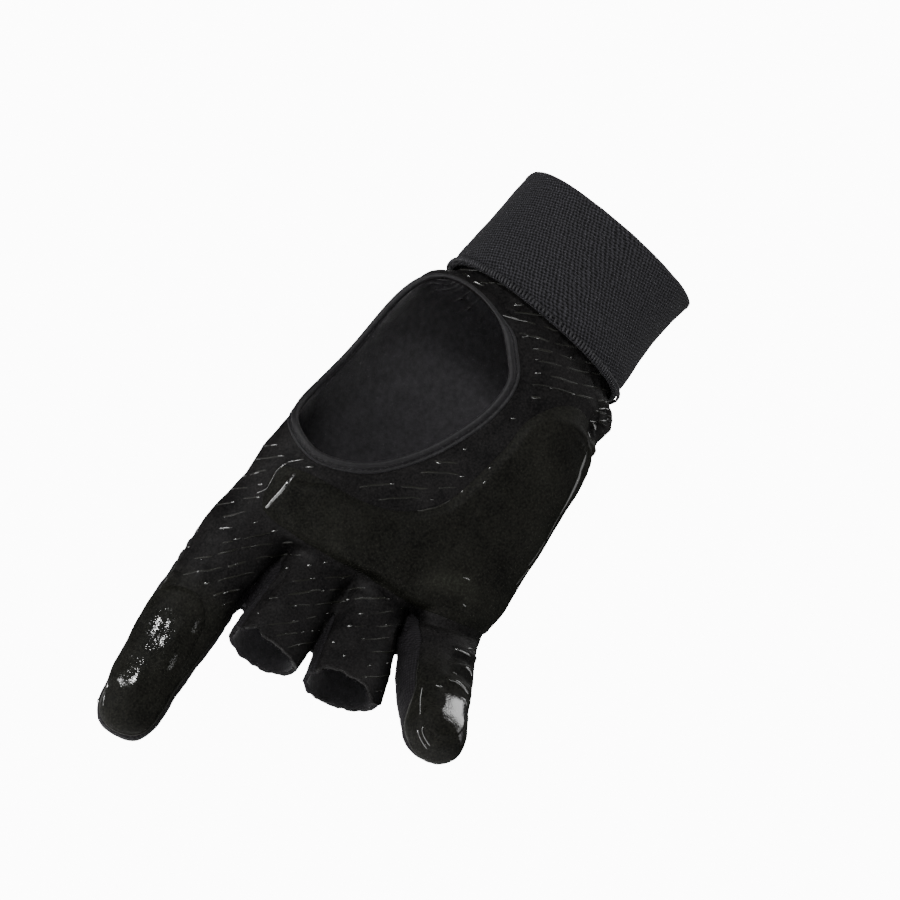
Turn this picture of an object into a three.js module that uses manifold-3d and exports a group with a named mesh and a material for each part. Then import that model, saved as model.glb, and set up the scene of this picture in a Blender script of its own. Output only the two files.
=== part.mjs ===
// A right-hand bowling glove, shaped as a relaxed hand holds it: a coated palm with the first and
// little fingers covered to the tip, the two bowling fingers cut short, a wide bound thumb opening
// and a woven elastic wrist band.
// Millimetres. X runs from the thumb side to the little finger, Y from the palm to the back of the
// hand, Z from the fingertips to the elbow. The origin is the centre of the wrist band's upper rim.
import * as THREE from "three";
import { mergeVertices } from "three/addons/utils/BufferGeometryUtils.js";
import Module from "manifold-3d";

const wasm = await Module();
wasm.setup();

// Driving dimensions
const WALL = 1.6; // coated knit on its thin foam
const GAP = 0.3; // between neighbouring pieces
const BAND_LENGTH = 40;
const BAND_WALL = 2.2;
const PALM_PAD = 1.6; // thickness of the gel pad across the palm
const TIP_PAD = 1.1; // thickness of the fingertip pads
const BINDING_RADIUS = 1.7;

const BODY_SIDES = 36;
const BODY_STEPS = 2; // rings to each row of the body's table
const FINGER_SIDES = 16;
const FINGER_STEPS = 2;
const BOXINESS = 2.3; // exponent of the sections: 2 is an ellipse

// The hand's outside, wrist to knuckles. z is the section's height on the hand's middle line,
// radial and ulnar are its x at the thumb side and the little-finger side, palm and back its y,
// tilt the degrees that the little-finger side is raised, hollow the dip of the cupped palm and
// arch how far both sides curve towards the palm.
const BODY = [
  { z: -30, radial: -28.8, ulnar: 28.8, palm: -18.8, back: 19.4, tilt: 0, hollow: 0, arch: 0 },
  { z: -40.6, radial: -30, ulnar: 29.8, palm: -19.8, back: 20, tilt: 0, hollow: 0, arch: 0 },
  { z: -46, radial: -36, ulnar: 36, palm: -22, back: 20.5, tilt: 0, hollow: 0, arch: 0 },
  { z: -56, radial: -38.5, ulnar: 36, palm: -24.5, back: 20, tilt: 0, hollow: 1, arch: 0.5 },
  { z: -70, radial: -40, ulnar: 36.8, palm: -25, back: 19, tilt: 0, hollow: 2.5, arch: 1.5 },
  { z: -86, radial: -41, ulnar: 39.2, palm: -23.5, back: 18, tilt: 2, hollow: 3, arch: 2.5 },
  { z: -100, radial: -41.4, ulnar: 41.2, palm: -21, back: 17, tilt: 5, hollow: 2.5, arch: 3.5 },
  { z: -113, radial: -41.6, ulnar: 42.6, palm: -19, back: 15.5, tilt: 8, hollow: 1, arch: 4 },
  { z: -125, radial: -40.5, ulnar: 44, palm: -17.5, back: 13, tilt: 12, hollow: 0, arch: 4 },
  { z: -133, radial: -38.5, ulnar: 43, palm: -15.5, back: 9.5, tilt: 14, hollow: 0, arch: 4 },
];

// Centre, width and depth of each finger at its stations, from inside the hand outwards, and how
// far palmwards of its middle the seam between its front and back lies on either side.
const FINGERS = {
  index: {
    stations: [
      { x: -29, y: -3, z: -112, width: 20, depth: 18 },
      { x: -29, y: -3.5, z: -140, width: 24.5, depth: 22 },
      { x: -28.2, y: -6.5, z: -163, width: 23.6, depth: 20.5 },
      { x: -26, y: -9.5, z: -187, width: 21.4, depth: 18.5 },
      { x: -23.8, y: -12, z: -203, width: 19, depth: 17 },
    ],
    dome: 10.5,
    radialSeam: -2,
    ulnarSeam: 3,
  },
  middle: {
    stations: [
      { x: -7, y: 0, z: -112, width: 20, depth: 22 },
      { x: -5.8, y: -4.5, z: -140, width: 21.5, depth: 22 },
      { x: -5, y: -16, z: -167, width: 24, depth: 22 },
    ],
    radialSeam: 4,
    ulnarSeam: 3,
  },
  ring: {
    stations: [
      { x: 11, y: 0, z: -108, width: 19, depth: 21 },
      { x: 13, y: -5.5, z: -136, width: 20, depth: 21 },
      { x: 18.6, y: -20, z: -161, width: 23.6, depth: 20 },
    ],
    radialSeam: 4,
    ulnarSeam: 3,
  },
  pinky: {
    stations: [
      { x: 31, y: -2, z: -104, width: 19, depth: 19 },
      { x: 33.6, y: -7.5, z: -127, width: 22, depth: 19 },
      { x: 39, y: -21, z: -145, width: 22, depth: 19 },
      { x: 44, y: -33.5, z: -156.5, width: 19.5, depth: 17 },
    ],
    dome: 11,
    radialSeam: 4,
    ulnarSeam: -1,
  },
};

// The line across the hand where the fingers begin.
const KNUCKLES = { x: 5, z: -141, tilt: 13.6 };

// Edge of the thumb opening on the hand's surface: degrees around the hand from the little-finger
// side by way of the palm, and height.
const THUMB_EDGE = [
  { around: 88, z: -66 },
  { around: 93, z: -56.5 },
  { around: 106, z: -50.5 },
  { around: 128, z: -47 },
  { around: 152, z: -48 },
  { around: 180, z: -57 },
  { around: 196, z: -75 },
  { around: 193, z: -90 },
  { around: 176, z: -101.5 },
  { around: 150, z: -108 },
  { around: 128, z: -110.5 },
  { around: 107, z: -104.5 },
  { around: 93, z: -88.5 },
];

// Outline of the palm pad, seen square to the palm.
const PAD_OUTLINE = [
  { x: -35, z: -125 },
  { x: -31, z: -122 },
  { x: -24, z: -120 },
  { x: -12, z: -117.5 },
  { x: -3, z: -114 },
  { x: 4, z: -108.5 },
  { x: 9, z: -101 },
  { x: 11, z: -90 },
  { x: 12, z: -77 },
  { x: 12, z: -68 },
  { x: 16, z: -59 },
  { x: 22, z: -54 },
  { x: 30, z: -55 },
  { x: 55, z: -64 },
  { x: 55, z: -118 },
  { x: 44, z: -122 },
  { x: 35, z: -125.5 },
  { x: 20, z: -130 },
  { x: 6, z: -132.5 },
  { x: -12, z: -136 },
  { x: -28, z: -137.5 },
  { x: -33, z: -134 },
];
const PAD_BACK_EDGE = -9; // y of the palm pad's edge on the little-finger side

// Outlines of the fingertip pads, on the finger: degrees around it from the little-finger side by
// way of the palm, and place along its stations, where a place past the last is on its tip.
const TIP_PADS = {
  index: [
    { around: 190, place: 2.5 },
    { around: 150, place: 2.33 },
    { around: 112, place: 2.25 },
    { around: 90, place: 2.28 },
    { around: 68, place: 2.45 },
    { around: 60, place: 2.8 },
    { around: 58, place: 3.3 },
    { around: 64, place: 3.8 },
    { around: 90, place: 4.1 },
    { around: 125, place: 4.15 },
    { around: 165, place: 3.95 },
    { around: 192, place: 3.6 },
    { around: 197, place: 3.05 },
  ],
  pinky: [
    { around: 90, place: 2.98 },
    { around: 62, place: 3.03 },
    { around: 50, place: 3.25 },
    { around: 50, place: 3.55 },
    { around: 62, place: 3.8 },
    { around: 90, place: 3.88 },
    { around: 118, place: 3.8 },
    { around: 130, place: 3.55 },
    { around: 130, place: 3.25 },
    { around: 118, place: 3.03 },
  ],
};

const TIP_PAD_MIDDLES = {
  index: { around: 125, place: 3.2 },
  pinky: { around: 90, place: 3.4 },
};

const MATERIALS = {
  grip: new THREE.MeshStandardMaterial({ color: 0x141413, roughness: 0.42, metalness: 0 }),
  knit: new THREE.MeshStandardMaterial({ color: 0x151418, roughness: 0.85, metalness: 0 }),
  pad: new THREE.MeshStandardMaterial({ color: 0x14150f, roughness: 0.3, metalness: 0 }),
  binding: new THREE.MeshStandardMaterial({ color: 0x17161a, roughness: 0.75, metalness: 0 }),
  elastic: new THREE.MeshStandardMaterial({ color: 0x17171b, roughness: 0.9, metalness: 0 }),
};

// Turns a closed three.js geometry into a solid.
function solidOf(geometry) {
  const bare = new THREE.BufferGeometry();
  bare.setAttribute("position", geometry.getAttribute("position"));
  if (geometry.index) bare.setIndex(geometry.index);
  const merged = mergeVertices(bare, 1e-4);
  const mesh = new wasm.Mesh({
    numProp: 3,
    vertProperties: merged.attributes.position.array,
    triVerts: new Uint32Array(merged.index.array),
  });
  return new wasm.Manifold(mesh);
}

// Turns a solid back into a named three.js mesh.
function meshOf(name, solid, material) {
  const { numProp, numVert, vertProperties, triVerts } = solid.getMesh();
  const positions = new Float32Array(numVert * 3);
  for (let i = 0; i < numVert; i++) {
    positions.set(vertProperties.subarray(i * numProp, i * numProp + 3), i * 3);
  }
  const geometry = new THREE.BufferGeometry();
  geometry.setAttribute("position", new THREE.BufferAttribute(positions, 3));
  geometry.setIndex(new THREE.BufferAttribute(triVerts, 1));
  const mesh = new THREE.Mesh(geometry, material);
  mesh.name = name;
  return mesh;
}

const centroid = (ring) =>
  ring.reduce((sum, p) => sum.add(p), new THREE.Vector3()).divideScalar(ring.length);

// A closed solid through rings of equally many points, with a fan of triangles over each end.
function loft(rings, startTip = centroid(rings[0]), endTip = centroid(rings.at(-1))) {
  const sides = rings[0].length;
  const points = [...rings.flat(), startTip, endTip];
  const start = points.length - 2;
  const end = points.length - 1;
  const lastRing = (rings.length - 1) * sides;
  const index = [];
  for (let i = 0; i < sides; i++) {
    const j = (i + 1) % sides;
    for (let row = 0; row < lastRing; row += sides) {
      index.push(row + i, row + j, row + sides + i, row + j, row + sides + j, row + sides + i);
    }
    index.push(start, j, i, end, lastRing + i, lastRing + j);
  }
  const geometry = new THREE.BufferGeometry().setFromPoints(points);
  geometry.setIndex(index);
  const solid = solidOf(geometry);
  if (solid.volume() > 0) return solid;
  geometry.setIndex(index.reverse());
  return solidOf(geometry);
}

// A ring closed in on itself, such as a bead that runs round an opening.
function closedLoft(rings) {
  const sides = rings[0].length;
  const index = [];
  rings.forEach((_, r) => {
    const here = r * sides;
    const next = ((r + 1) % rings.length) * sides;
    for (let i = 0; i < sides; i++) {
      const j = (i + 1) % sides;
      index.push(here + i, here + j, next + i, here + j, next + j, next + i);
    }
  });
  const geometry = new THREE.BufferGeometry().setFromPoints(rings.flat());
  geometry.setIndex(index);
  const solid = solidOf(geometry);
  if (solid.volume() > 0) return solid;
  geometry.setIndex(index.reverse());
  return solidOf(geometry);
}

// One value of a smooth curve through four neighbouring values.
function smooth(before, from, to, after, t) {
  const rise = (to - before) / 2;
  const fall = (after - from) / 2;
  const t2 = t * t;
  const t3 = t2 * t;
  return (
    (2 * t3 - 3 * t2 + 1) * from +
    (t3 - 2 * t2 + t) * rise +
    (3 * t2 - 2 * t3) * to +
    (t3 - t2) * fall
  );
}

// The row at place s of a table, where 0 is its first row and 1.5 lies halfway past its second.
function rowAt(table, s, closed = false) {
  const count = table.length;
  const pick = (i) =>
    closed ? table[((i % count) + count) % count] : table[Math.min(Math.max(i, 0), count - 1)];
  const i = closed ? Math.floor(s) : Math.min(Math.floor(s), count - 2);
  const row = {};
  for (const key of Object.keys(table[0])) {
    const values = [i - 1, i, i + 1, i + 2].map((k) => pick(k)[key]);
    row[key] = smooth(...values, s - i);
  }
  return row;
}

const signedPower = (value, power) => Math.sign(value) * Math.abs(value) ** power;

// A unit section: a rounded box of the given boxiness, at an angle counted through the palm.
function unitSection(angle) {
  return {
    across: signedPower(Math.cos(angle), 2 / BOXINESS),
    palmward: signedPower(Math.sin(angle), 2 / BOXINESS),
  };
}

// A point of the hand's surface, moved inwards by inset.
function bodyPoint(row, angle, inset) {
  const centreX = (row.radial + row.ulnar) / 2;
  const centreY = (row.palm + row.back) / 2;
  const { across, palmward } = unitSection(angle);
  const x = centreX + across * ((row.ulnar - row.radial) / 2 - inset);
  const dip = palmward > 0 ? row.hollow * Math.exp(-((across / 0.45) ** 2)) * palmward : 0;
  const y = centreY - palmward * ((row.back - row.palm) / 2 - inset) + dip - row.arch * across ** 2;
  const z = row.z + Math.tan(THREE.MathUtils.degToRad(row.tilt)) * (x - centreX);
  return new THREE.Vector3(x, y, z);
}

const turn = (i, sides) => (i / sides) * 2 * Math.PI;

function ringOf(sides, pointAt) {
  return Array.from({ length: sides }, (_, i) => pointAt(turn(i, sides)));
}

// The hand without fingers. A negative inset swells it, and extend lengthens its wrist end.
function body(inset, extend = 0) {
  const rings = [];
  for (let s = 0; s <= (BODY.length - 1) * BODY_STEPS; s++) {
    const row = rowAt(BODY, s / BODY_STEPS);
    rings.push(ringOf(BODY_SIDES, (angle) => bodyPoint(row, angle, inset)));
  }
  const wrist = rings[0].map((p) => p.clone().setZ(p.z + extend));
  const knuckles = centroid(rings.at(-1));
  knuckles.z -= 3 - inset;
  return loft(extend ? [wrist, ...rings] : rings, undefined, knuckles);
}

// Where a finger is at place s of its stations: its centre and the directions across, palmwards
// and along it.
function fingerFrame(stations, s) {
  const at = rowAt(stations, s);
  const before = rowAt(stations, Math.max(s - 0.05, 0));
  const after = rowAt(stations, Math.min(s + 0.05, stations.length - 1));
  const centre = new THREE.Vector3(at.x, at.y, at.z);
  const along = new THREE.Vector3(after.x - before.x, after.y - before.y, after.z - before.z);
  along.normalize();
  const across = new THREE.Vector3(0, -1, 0).cross(along).normalize();
  const palmward = along.clone().cross(across);
  return { centre, along, across, palmward, width: at.width, depth: at.depth };
}

function fingerRing(frame, inset, scale = 1, forward = 0) {
  return ringOf(FINGER_SIDES, (angle) => {
    const section = unitSection(angle);
    return frame.centre
      .clone()
      .addScaledVector(frame.along, forward)
      .addScaledVector(frame.across, section.across * (frame.width / 2 - inset) * scale)
      .addScaledVector(frame.palmward, section.palmward * (frame.depth / 2 - inset) * scale);
  });
}

// A point of a finger's surface, in the terms of TIP_PADS, pulled to or pushed from its middle line.
function fingerPoint({ stations, dome }, place, around, pull) {
  const last = stations.length - 1;
  const frame = fingerFrame(stations, Math.min(place, last));
  const beyond = Math.max(place - last, 0);
  const section = unitSection(THREE.MathUtils.degToRad(around));
  const scale = pull * (1 - beyond ** 2.4) ** (1 / 2.4);
  return frame.centre
    .clone()
    .addScaledVector(frame.along, dome * beyond * pull)
    .addScaledVector(frame.across, (section.across * frame.width * scale) / 2)
    .addScaledVector(frame.palmward, (section.palmward * frame.depth * scale) / 2);
}

// One finger, domed at its tip if it is a covered one, else run out by extend past its end.
function finger({ stations, dome }, inset, extend = 0) {
  const rings = [];
  for (let s = 0; s <= (stations.length - 1) * FINGER_STEPS; s++) {
    rings.push(fingerRing(fingerFrame(stations, s / FINGER_STEPS), inset));
  }
  const last = fingerFrame(stations, stations.length - 1);
  if (!dome) {
    if (extend) rings.push(fingerRing(last, inset, 1, extend));
    return loft(rings);
  }
  const reach = dome - inset;
  for (const u of [0.45, 0.75, 0.92]) {
    rings.push(fingerRing(last, inset, (1 - u ** 2.4) ** (1 / 2.4), reach * u));
  }
  return loft(rings, undefined, last.centre.clone().addScaledVector(last.along, reach));
}

// The whole hand with its fingers. The inside runs on through the wrist and the short fingers.
function hand(inset, extend = 0) {
  return Object.values(FINGERS).reduce(
    (sum, each) => sum.add(finger(each, inset, extend)),
    body(inset, extend),
  );
}

// A prism of an outline in x and z, running through the hand along y.
function prism(outline, fromY = -80, toY = 60) {
  const shape = new THREE.Shape(outline.map((p) => new THREE.Vector2(p.x, p.z)));
  const geometry = new THREE.ExtrudeGeometry(shape, { depth: toY - fromY, bevelEnabled: false });
  geometry.rotateX(Math.PI / 2);
  geometry.translate(0, toY, 0);
  return solidOf(geometry);
}

// The side of the knuckle line towards the wrist, or towards the fingertips.
function knuckleZone(towardsWrist) {
  const lift = towardsWrist ? GAP / 2 : -GAP / 2;
  const knuckleZ = (x) =>
    KNUCKLES.z + lift + Math.tan(THREE.MathUtils.degToRad(KNUCKLES.tilt)) * (x - KNUCKLES.x);
  const end = towardsWrist ? 20 : -260;
  return prism([
    { x: -90, z: knuckleZ(-90) },
    { x: 90, z: knuckleZ(90) },
    { x: 90, z: end },
    { x: -90, z: end },
  ]);
}

// The half of a finger on one side of its seams: side 1 is the palm's, -1 the back's.
function fingerHalf({ stations, dome = 0, radialSeam, ulnarSeam }, side) {
  const near = (side * GAP) / 2;
  const far = side * 30;
  const wide = 26;
  const slope = (ulnarSeam - radialSeam) / 20;
  const middle = (ulnarSeam + radialSeam) / 2;
  const ringAt = (frame, forward) =>
    [
      [-wide, middle - slope * wide + near],
      [wide, middle + slope * wide + near],
      [wide, far],
      [-wide, far],
    ].map(([across, palmward]) =>
      frame.centre
        .clone()
        .addScaledVector(frame.along, forward)
        .addScaledVector(frame.across, across)
        .addScaledVector(frame.palmward, palmward),
    );
  const rings = [];
  for (let s = 0; s <= (stations.length - 1) * FINGER_STEPS; s++) {
    rings.push(ringAt(fingerFrame(stations, s / FINGER_STEPS), 0));
  }
  rings.push(ringAt(fingerFrame(stations, stations.length - 1), dome + 5));
  return loft(rings);
}

// The half of the hand on one side of its side seams, as for a finger.
function bodyHalf(side) {
  const near = (side * GAP) / 2;
  const ringAt = (row, z) => {
    const seam = (row.palm + row.back) / 2 - near;
    const far = seam - side * 60;
    return [
      new THREE.Vector3(-90, seam, z),
      new THREE.Vector3(90, seam, z),
      new THREE.Vector3(90, far, z),
      new THREE.Vector3(-90, far, z),
    ];
  };
  const rings = [ringAt(BODY[0], 0)];
  BODY.forEach((row) => rings.push(ringAt(row, row.z)));
  rings.push(ringAt(BODY.at(-1), -170));
  return loft(rings);
}

// The edge of the thumb opening at the middle of the wall, as a closed list of points.
function thumbEdge(steps) {
  return Array.from({ length: steps }, (_, i) => {
    const edge = rowAt(THUMB_EDGE, (i / steps) * THUMB_EDGE.length, true);
    const place = BODY.findIndex((row) => row.z < edge.z) - 1;
    const from = BODY[place].z;
    const row = rowAt(BODY, place + (from - edge.z) / (from - BODY[place + 1].z));
    return bodyPoint(row, THREE.MathUtils.degToRad(edge.around), WALL / 2);
  });
}

// Cuts from inside the hollow hand out through the wall, square to it.
function thumbCutter() {
  const edge = thumbEdge(40);
  const pull = (share) => edge.map((p) => new THREE.Vector3(p.x * share, p.y * share, p.z));
  const inside = new THREE.Vector3(-4, -2, -81);
  const outside = new THREE.Vector3(-120, -110, -81);
  return loft([pull(0.8), pull(1.5)], inside, outside);
}

// A round bead along the thumb opening's edge.
function thumbBead(radius) {
  const curve = new THREE.CatmullRomCurve3(thumbEdge(40), true);
  const steps = 40;
  const sides = 8;
  const frames = curve.computeFrenetFrames(steps, true);
  const rings = Array.from({ length: steps }, (_, i) => {
    const centre = curve.getPointAt(i / steps);
    return ringOf(sides, (angle) =>
      centre
        .clone()
        .addScaledVector(frames.normals[i], Math.cos(angle) * radius)
        .addScaledVector(frames.binormals[i], Math.sin(angle) * radius),
    );
  });
  return closedLoft(rings);
}

// The woven band, flared a little to meet the hand, with its rims rounded over and its upper rim
// drawn down on the palm's side.
function wristBand() {
  const rims = [
    { z: 0, shrink: 0.9, dip: 1.5 },
    { z: -1.2, shrink: 0, dip: 1.5 },
    { z: -BAND_LENGTH / 2, shrink: 0, dip: 0 },
    { z: -BAND_LENGTH + 1, shrink: 0, dip: 0 },
    { z: -BAND_LENGTH, shrink: 0.7, dip: 0 },
  ];
  const bandRow = (z) => {
    const flare = -z / BAND_LENGTH;
    return {
      z,
      radial: -31.2 - 1.6 * flare,
      ulnar: 32.6,
      palm: -21 - 1.8 * flare,
      back: 22 + 0.6 * flare,
      tilt: 0,
      hollow: 0,
      arch: 0,
    };
  };
  const ringAt = (z, inset, dip = 0) =>
    ringOf(BODY_SIDES, (angle) => {
      const point = bodyPoint(bandRow(z), angle, inset);
      return point.setZ(point.z - dip * Math.max(Math.sin(angle), 0));
    });
  const outside = loft(rims.map((rim) => ringAt(rim.z, rim.shrink, rim.dip)));
  const inside = loft([2, -BAND_LENGTH / 2, -BAND_LENGTH - 2].map((z) => ringAt(z, BAND_WALL)));
  return outside.subtract(inside);
}

// The pad lying on the palm within its outline.
function palmPad() {
  return body(-GAP - PALM_PAD).subtract(hand(-GAP)).intersect(prism(PAD_OUTLINE, -80, PAD_BACK_EDGE));
}

// A finger's hollow sleeve, clear of the fingers named before it.
function sleeveOf(name) {
  const names = Object.keys(FINGERS);
  const each = FINGERS[name];
  const hollow = finger(each, 0).subtract(finger(each, WALL, 4)).intersect(knuckleZone(false));
  return names
    .slice(0, names.indexOf(name))
    .reduce((left, other) => left.subtract(finger(FINGERS[other], -GAP)), hollow);
}

// A pad lying on a fingertip within its outline.
function tipPad(name) {
  const each = FINGERS[name];
  const outline = TIP_PADS[name];
  const ringAt = (pull) =>
    Array.from({ length: 28 }, (_, i) => {
      const { around, place } = rowAt(outline, (i / 28) * outline.length, true);
      return fingerPoint(each, place, around, pull);
    });
  const middle = TIP_PAD_MIDDLES[name];
  const outer = fingerPoint(each, middle.place, middle.around, 3);
  const inner = fingerPoint(each, middle.place, middle.around, 0);
  const column = loft([ringAt(0.3), ringAt(1.6)], inner, outer);
  return finger(each, -GAP - TIP_PAD).subtract(finger(each, -GAP)).intersect(column);
}

const shell = hand(0).subtract(hand(WALL, 4)).subtract(thumbCutter()).intersect(knuckleZone(true));
const bodyShell = shell.subtract(thumbBead(BINDING_RADIUS + GAP));
const glove = new THREE.Group();
glove.add(
  meshOf("palm_panel", bodyShell.intersect(bodyHalf(1)), MATERIALS.grip),
  meshOf("back_panel", bodyShell.intersect(bodyHalf(-1)), MATERIALS.knit),
  meshOf("palm_pad", palmPad(), MATERIALS.pad),
  meshOf("index_pad", tipPad("index"), MATERIALS.pad),
  meshOf("pinky_pad", tipPad("pinky"), MATERIALS.pad),
  meshOf("thumb_binding", thumbBead(BINDING_RADIUS), MATERIALS.binding),
  meshOf("wrist_band", wristBand(), MATERIALS.elastic),
);
Object.entries(FINGERS).forEach(([name, each]) => {
  const sleeve = sleeveOf(name);
  glove.add(meshOf(`${name}_front`, sleeve.intersect(fingerHalf(each, 1)), MATERIALS.grip));
  glove.add(meshOf(`${name}_back`, sleeve.intersect(fingerHalf(each, -1)), MATERIALS.knit));
});

export default glove;
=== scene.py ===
"""A right-hand bowling glove as a relaxed hand holds it, hung in a white studio.

Built in millimetres in the model's frame and put into Blender in metres: X runs from the thumb side
to the little finger, Y from the palm to the back of the hand, Z from the fingertips to the elbow.
"""
import math

import bpy
import numpy as np
from mathutils import Matrix, Vector
from mathutils.bvhtree import BVHTree


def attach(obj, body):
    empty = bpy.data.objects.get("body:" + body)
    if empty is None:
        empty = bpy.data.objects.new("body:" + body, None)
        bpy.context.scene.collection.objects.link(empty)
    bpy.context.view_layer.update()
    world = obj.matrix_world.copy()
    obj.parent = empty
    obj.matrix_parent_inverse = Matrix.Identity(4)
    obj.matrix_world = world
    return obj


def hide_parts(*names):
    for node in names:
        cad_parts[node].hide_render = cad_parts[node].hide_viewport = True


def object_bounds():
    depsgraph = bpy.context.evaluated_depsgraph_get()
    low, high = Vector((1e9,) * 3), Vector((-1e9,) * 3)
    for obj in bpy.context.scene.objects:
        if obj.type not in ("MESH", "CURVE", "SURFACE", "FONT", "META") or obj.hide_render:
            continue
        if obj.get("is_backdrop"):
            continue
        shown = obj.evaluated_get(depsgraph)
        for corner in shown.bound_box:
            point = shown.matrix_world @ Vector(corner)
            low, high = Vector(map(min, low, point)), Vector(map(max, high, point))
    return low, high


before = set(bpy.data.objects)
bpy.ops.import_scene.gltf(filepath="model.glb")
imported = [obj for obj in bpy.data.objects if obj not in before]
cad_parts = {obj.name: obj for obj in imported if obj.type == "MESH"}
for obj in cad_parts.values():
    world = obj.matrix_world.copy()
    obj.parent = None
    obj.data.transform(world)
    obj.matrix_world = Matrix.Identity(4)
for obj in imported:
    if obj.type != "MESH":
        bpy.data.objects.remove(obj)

CAD_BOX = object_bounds()
MM = 0.001
TURN = 2 * math.pi

# The photograph's camera: pixels of the 900 x 900 image, degrees round the object
IMAGE = 900
MIDDLE = IMAGE / 2
SENSOR = 36
AZIMUTH = -8.0
ELEVATION = -14.0
ROLL = 38.8
DISTANCE = 750.0
PIXELS_PER_MM = 3.25  # at the origin's distance
ORIGIN_PX = (609, 238)

# Sizes in millimetres
VOXEL = 0.85
WALL = 1.3
PAD_HEIGHT = 1.5
TIP_PAD_HEIGHT = 0.9
BAND_LENGTH = 40.0
BAND_WALL = 2.2
BAND_DIP = 1.5  # how far its palm side sags
BOXINESS = 2.3  # exponent of the sections: 2 is an ellipse
TIP_ROUNDNESS = 2.4  # exponent of the fingertips
FINGER_RADIUS = 10.5  # a mean one, for lengths round a finger
HAND_SIDES = 96
FINGER_SIDES = 56


def named_rows(names, *rows):
    """Rows of named values: the names on one line, then each row's values in that order."""
    return [dict(zip(names.split(), row)) for row in rows]


def finger_table(*stations, **form):
    return dict(stations=named_rows("x y z width depth", *stations), **form)


# The hand's outside, wrist to knuckles: the section's height, its x at the thumb side and the
# little-finger side, its y at palm and back, its tilt in degrees, the dip of the cupped palm and how
# far both sides curve towards the palm.
BODY = named_rows(
    "z radial ulnar palm back tilt hollow arch",
    (-30, -28.8, 28.8, -18.8, 19.4, 0, 0, 0),
    (-40.6, -30, 29.8, -19.8, 20, 0, 0, 0),
    (-46, -36, 36, -22, 20.5, 0, 0, 0),
    (-56, -38.5, 35.6, -24.5, 20, 0, 1, 0.5),
    (-70, -40, 39.1, -25, 19, 0, 2.5, 1.5),
    (-86, -41, 40.7, -23.5, 18, 2, 3, 2.5),
    (-100, -41.4, 42, -21, 17, 5, 2.5, 3.5),
    (-113, -41.6, 43.6, -19, 15.5, 8, 1, 4),
    (-125, -40.5, 44.6, -17.5, 13, 12, 0, 4),
    (-133, -38.5, 43, -15.5, 9.5, 14, 0, 4),
)

# Centre, width and depth of each finger at its stations, the length of its tip (0 for a short
# sleeve), how far palmwards of its middle its side seams lie, and how far they turn to the back
# round its tip.
FINGERS = {
    "index": finger_table(
        (-29, -3, -112, 20, 18),
        (-29.2, -3.5, -140, 24.1, 22),
        (-28.5, -6.5, -163, 23, 20.5),
        (-26.2, -9.5, -187, 21, 18.5),
        (-24.2, -12, -203, 18.4, 17),
        dome=10.5, radial_seam=1.5, ulnar_seam=5.5, tip_seam=0,
    ),
    "middle": finger_table(
        (-7, 0, -112, 20, 22),
        (-5.9, -4.5, -140, 20.1, 22),
        (-5.2, -16, -167, 21.9, 21.5),
        dome=0, radial_seam=4, ulnar_seam=3, tip_seam=0,
    ),
    "ring": finger_table(
        (11, 0, -108, 19, 21),
        (13.2, -5.5, -136, 19.6, 21),
        (18.7, -20, -161, 23.5, 20),
        dome=0, radial_seam=4, ulnar_seam=3, tip_seam=0,
    ),
    "pinky": finger_table(
        (31, -2, -104, 19, 19),
        (33.6, -7.5, -127, 22, 19),
        (39, -21, -145, 22, 19),
        (44.4, -33.5, -156.5, 18.6, 17),
        dome=10, radial_seam=8, ulnar_seam=-4, tip_seam=8,
    ),
}
STATION_STEP = 19.0  # about the length from one station to the next
SLEEVE_RUN = 10.0  # how far a short finger is modelled past its sleeve's end before the cut
NUMBER_OF = {name: number for number, name in enumerate(FINGERS)}

KNUCKLES = dict(x=5, z=-141, tilt=13.6)

# Edge of the thumb opening: degrees round the hand from the little-finger side through the palm
THUMB_EDGE = named_rows(
    "around z",
    (88, -66), (93, -56.5), (106, -50.5), (128, -47), (152, -48), (180, -57), (196, -75),
    (193, -90), (176, -101.5), (150, -108), (128, -110.5), (107, -104.5), (93, -88.5),
)

# Outline of the palm pad, seen square to the palm
PAD_OUTLINE = named_rows(
    "x z",
    (-35, -125), (-31, -122), (-24, -120), (-12, -117.5), (-3, -114), (4, -108.5), (9, -101),
    (11, -90), (12, -77), (12, -68), (16, -59), (22, -54), (30, -55), (55, -64), (55, -118),
    (44, -122), (35, -125.5), (20, -130), (6, -132.5), (-12, -136), (-28, -137.5), (-33, -134),
)
PAD_BACK_EDGE = -9.0

# Where the skin ends inside the wrist band, and the height above which no fold stands out under it
SKIN_TOP = -31
UNDER_BAND = -40.5

# Outlines of the fingertip pads: degrees round the finger and place along its stations
TIP_PADS = {
    "index": named_rows(
        "around place",
        (190, 2.5), (150, 2.33), (112, 2.25), (90, 2.28), (68, 2.45), (60, 2.8), (58, 3.3),
        (64, 3.8), (90, 4.1), (125, 4.15), (165, 3.95), (192, 3.6), (197, 3.05),
    ),
    "pinky": named_rows(
        "around place",
        (90, 2.98), (62, 3.03), (50, 3.25), (50, 3.55), (62, 3.8), (90, 3.88), (118, 3.8),
        (130, 3.55), (130, 3.25), (118, 3.03),
    ),
}


# Camera

def camera_axes():
    """Right, up and back directions of the photograph's camera."""
    a, e, p = (math.radians(v) for v in (AZIMUTH, ELEVATION, ROLL))
    back = Vector((math.sin(a) * math.cos(e), -math.cos(a) * math.cos(e), math.sin(e)))
    level = Vector((0, 0, 1)).cross(back).normalized()
    upright = back.cross(level)
    right = math.cos(p) * level + math.sin(p) * upright
    up = -math.sin(p) * level + math.cos(p) * upright
    return right, up, back


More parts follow.
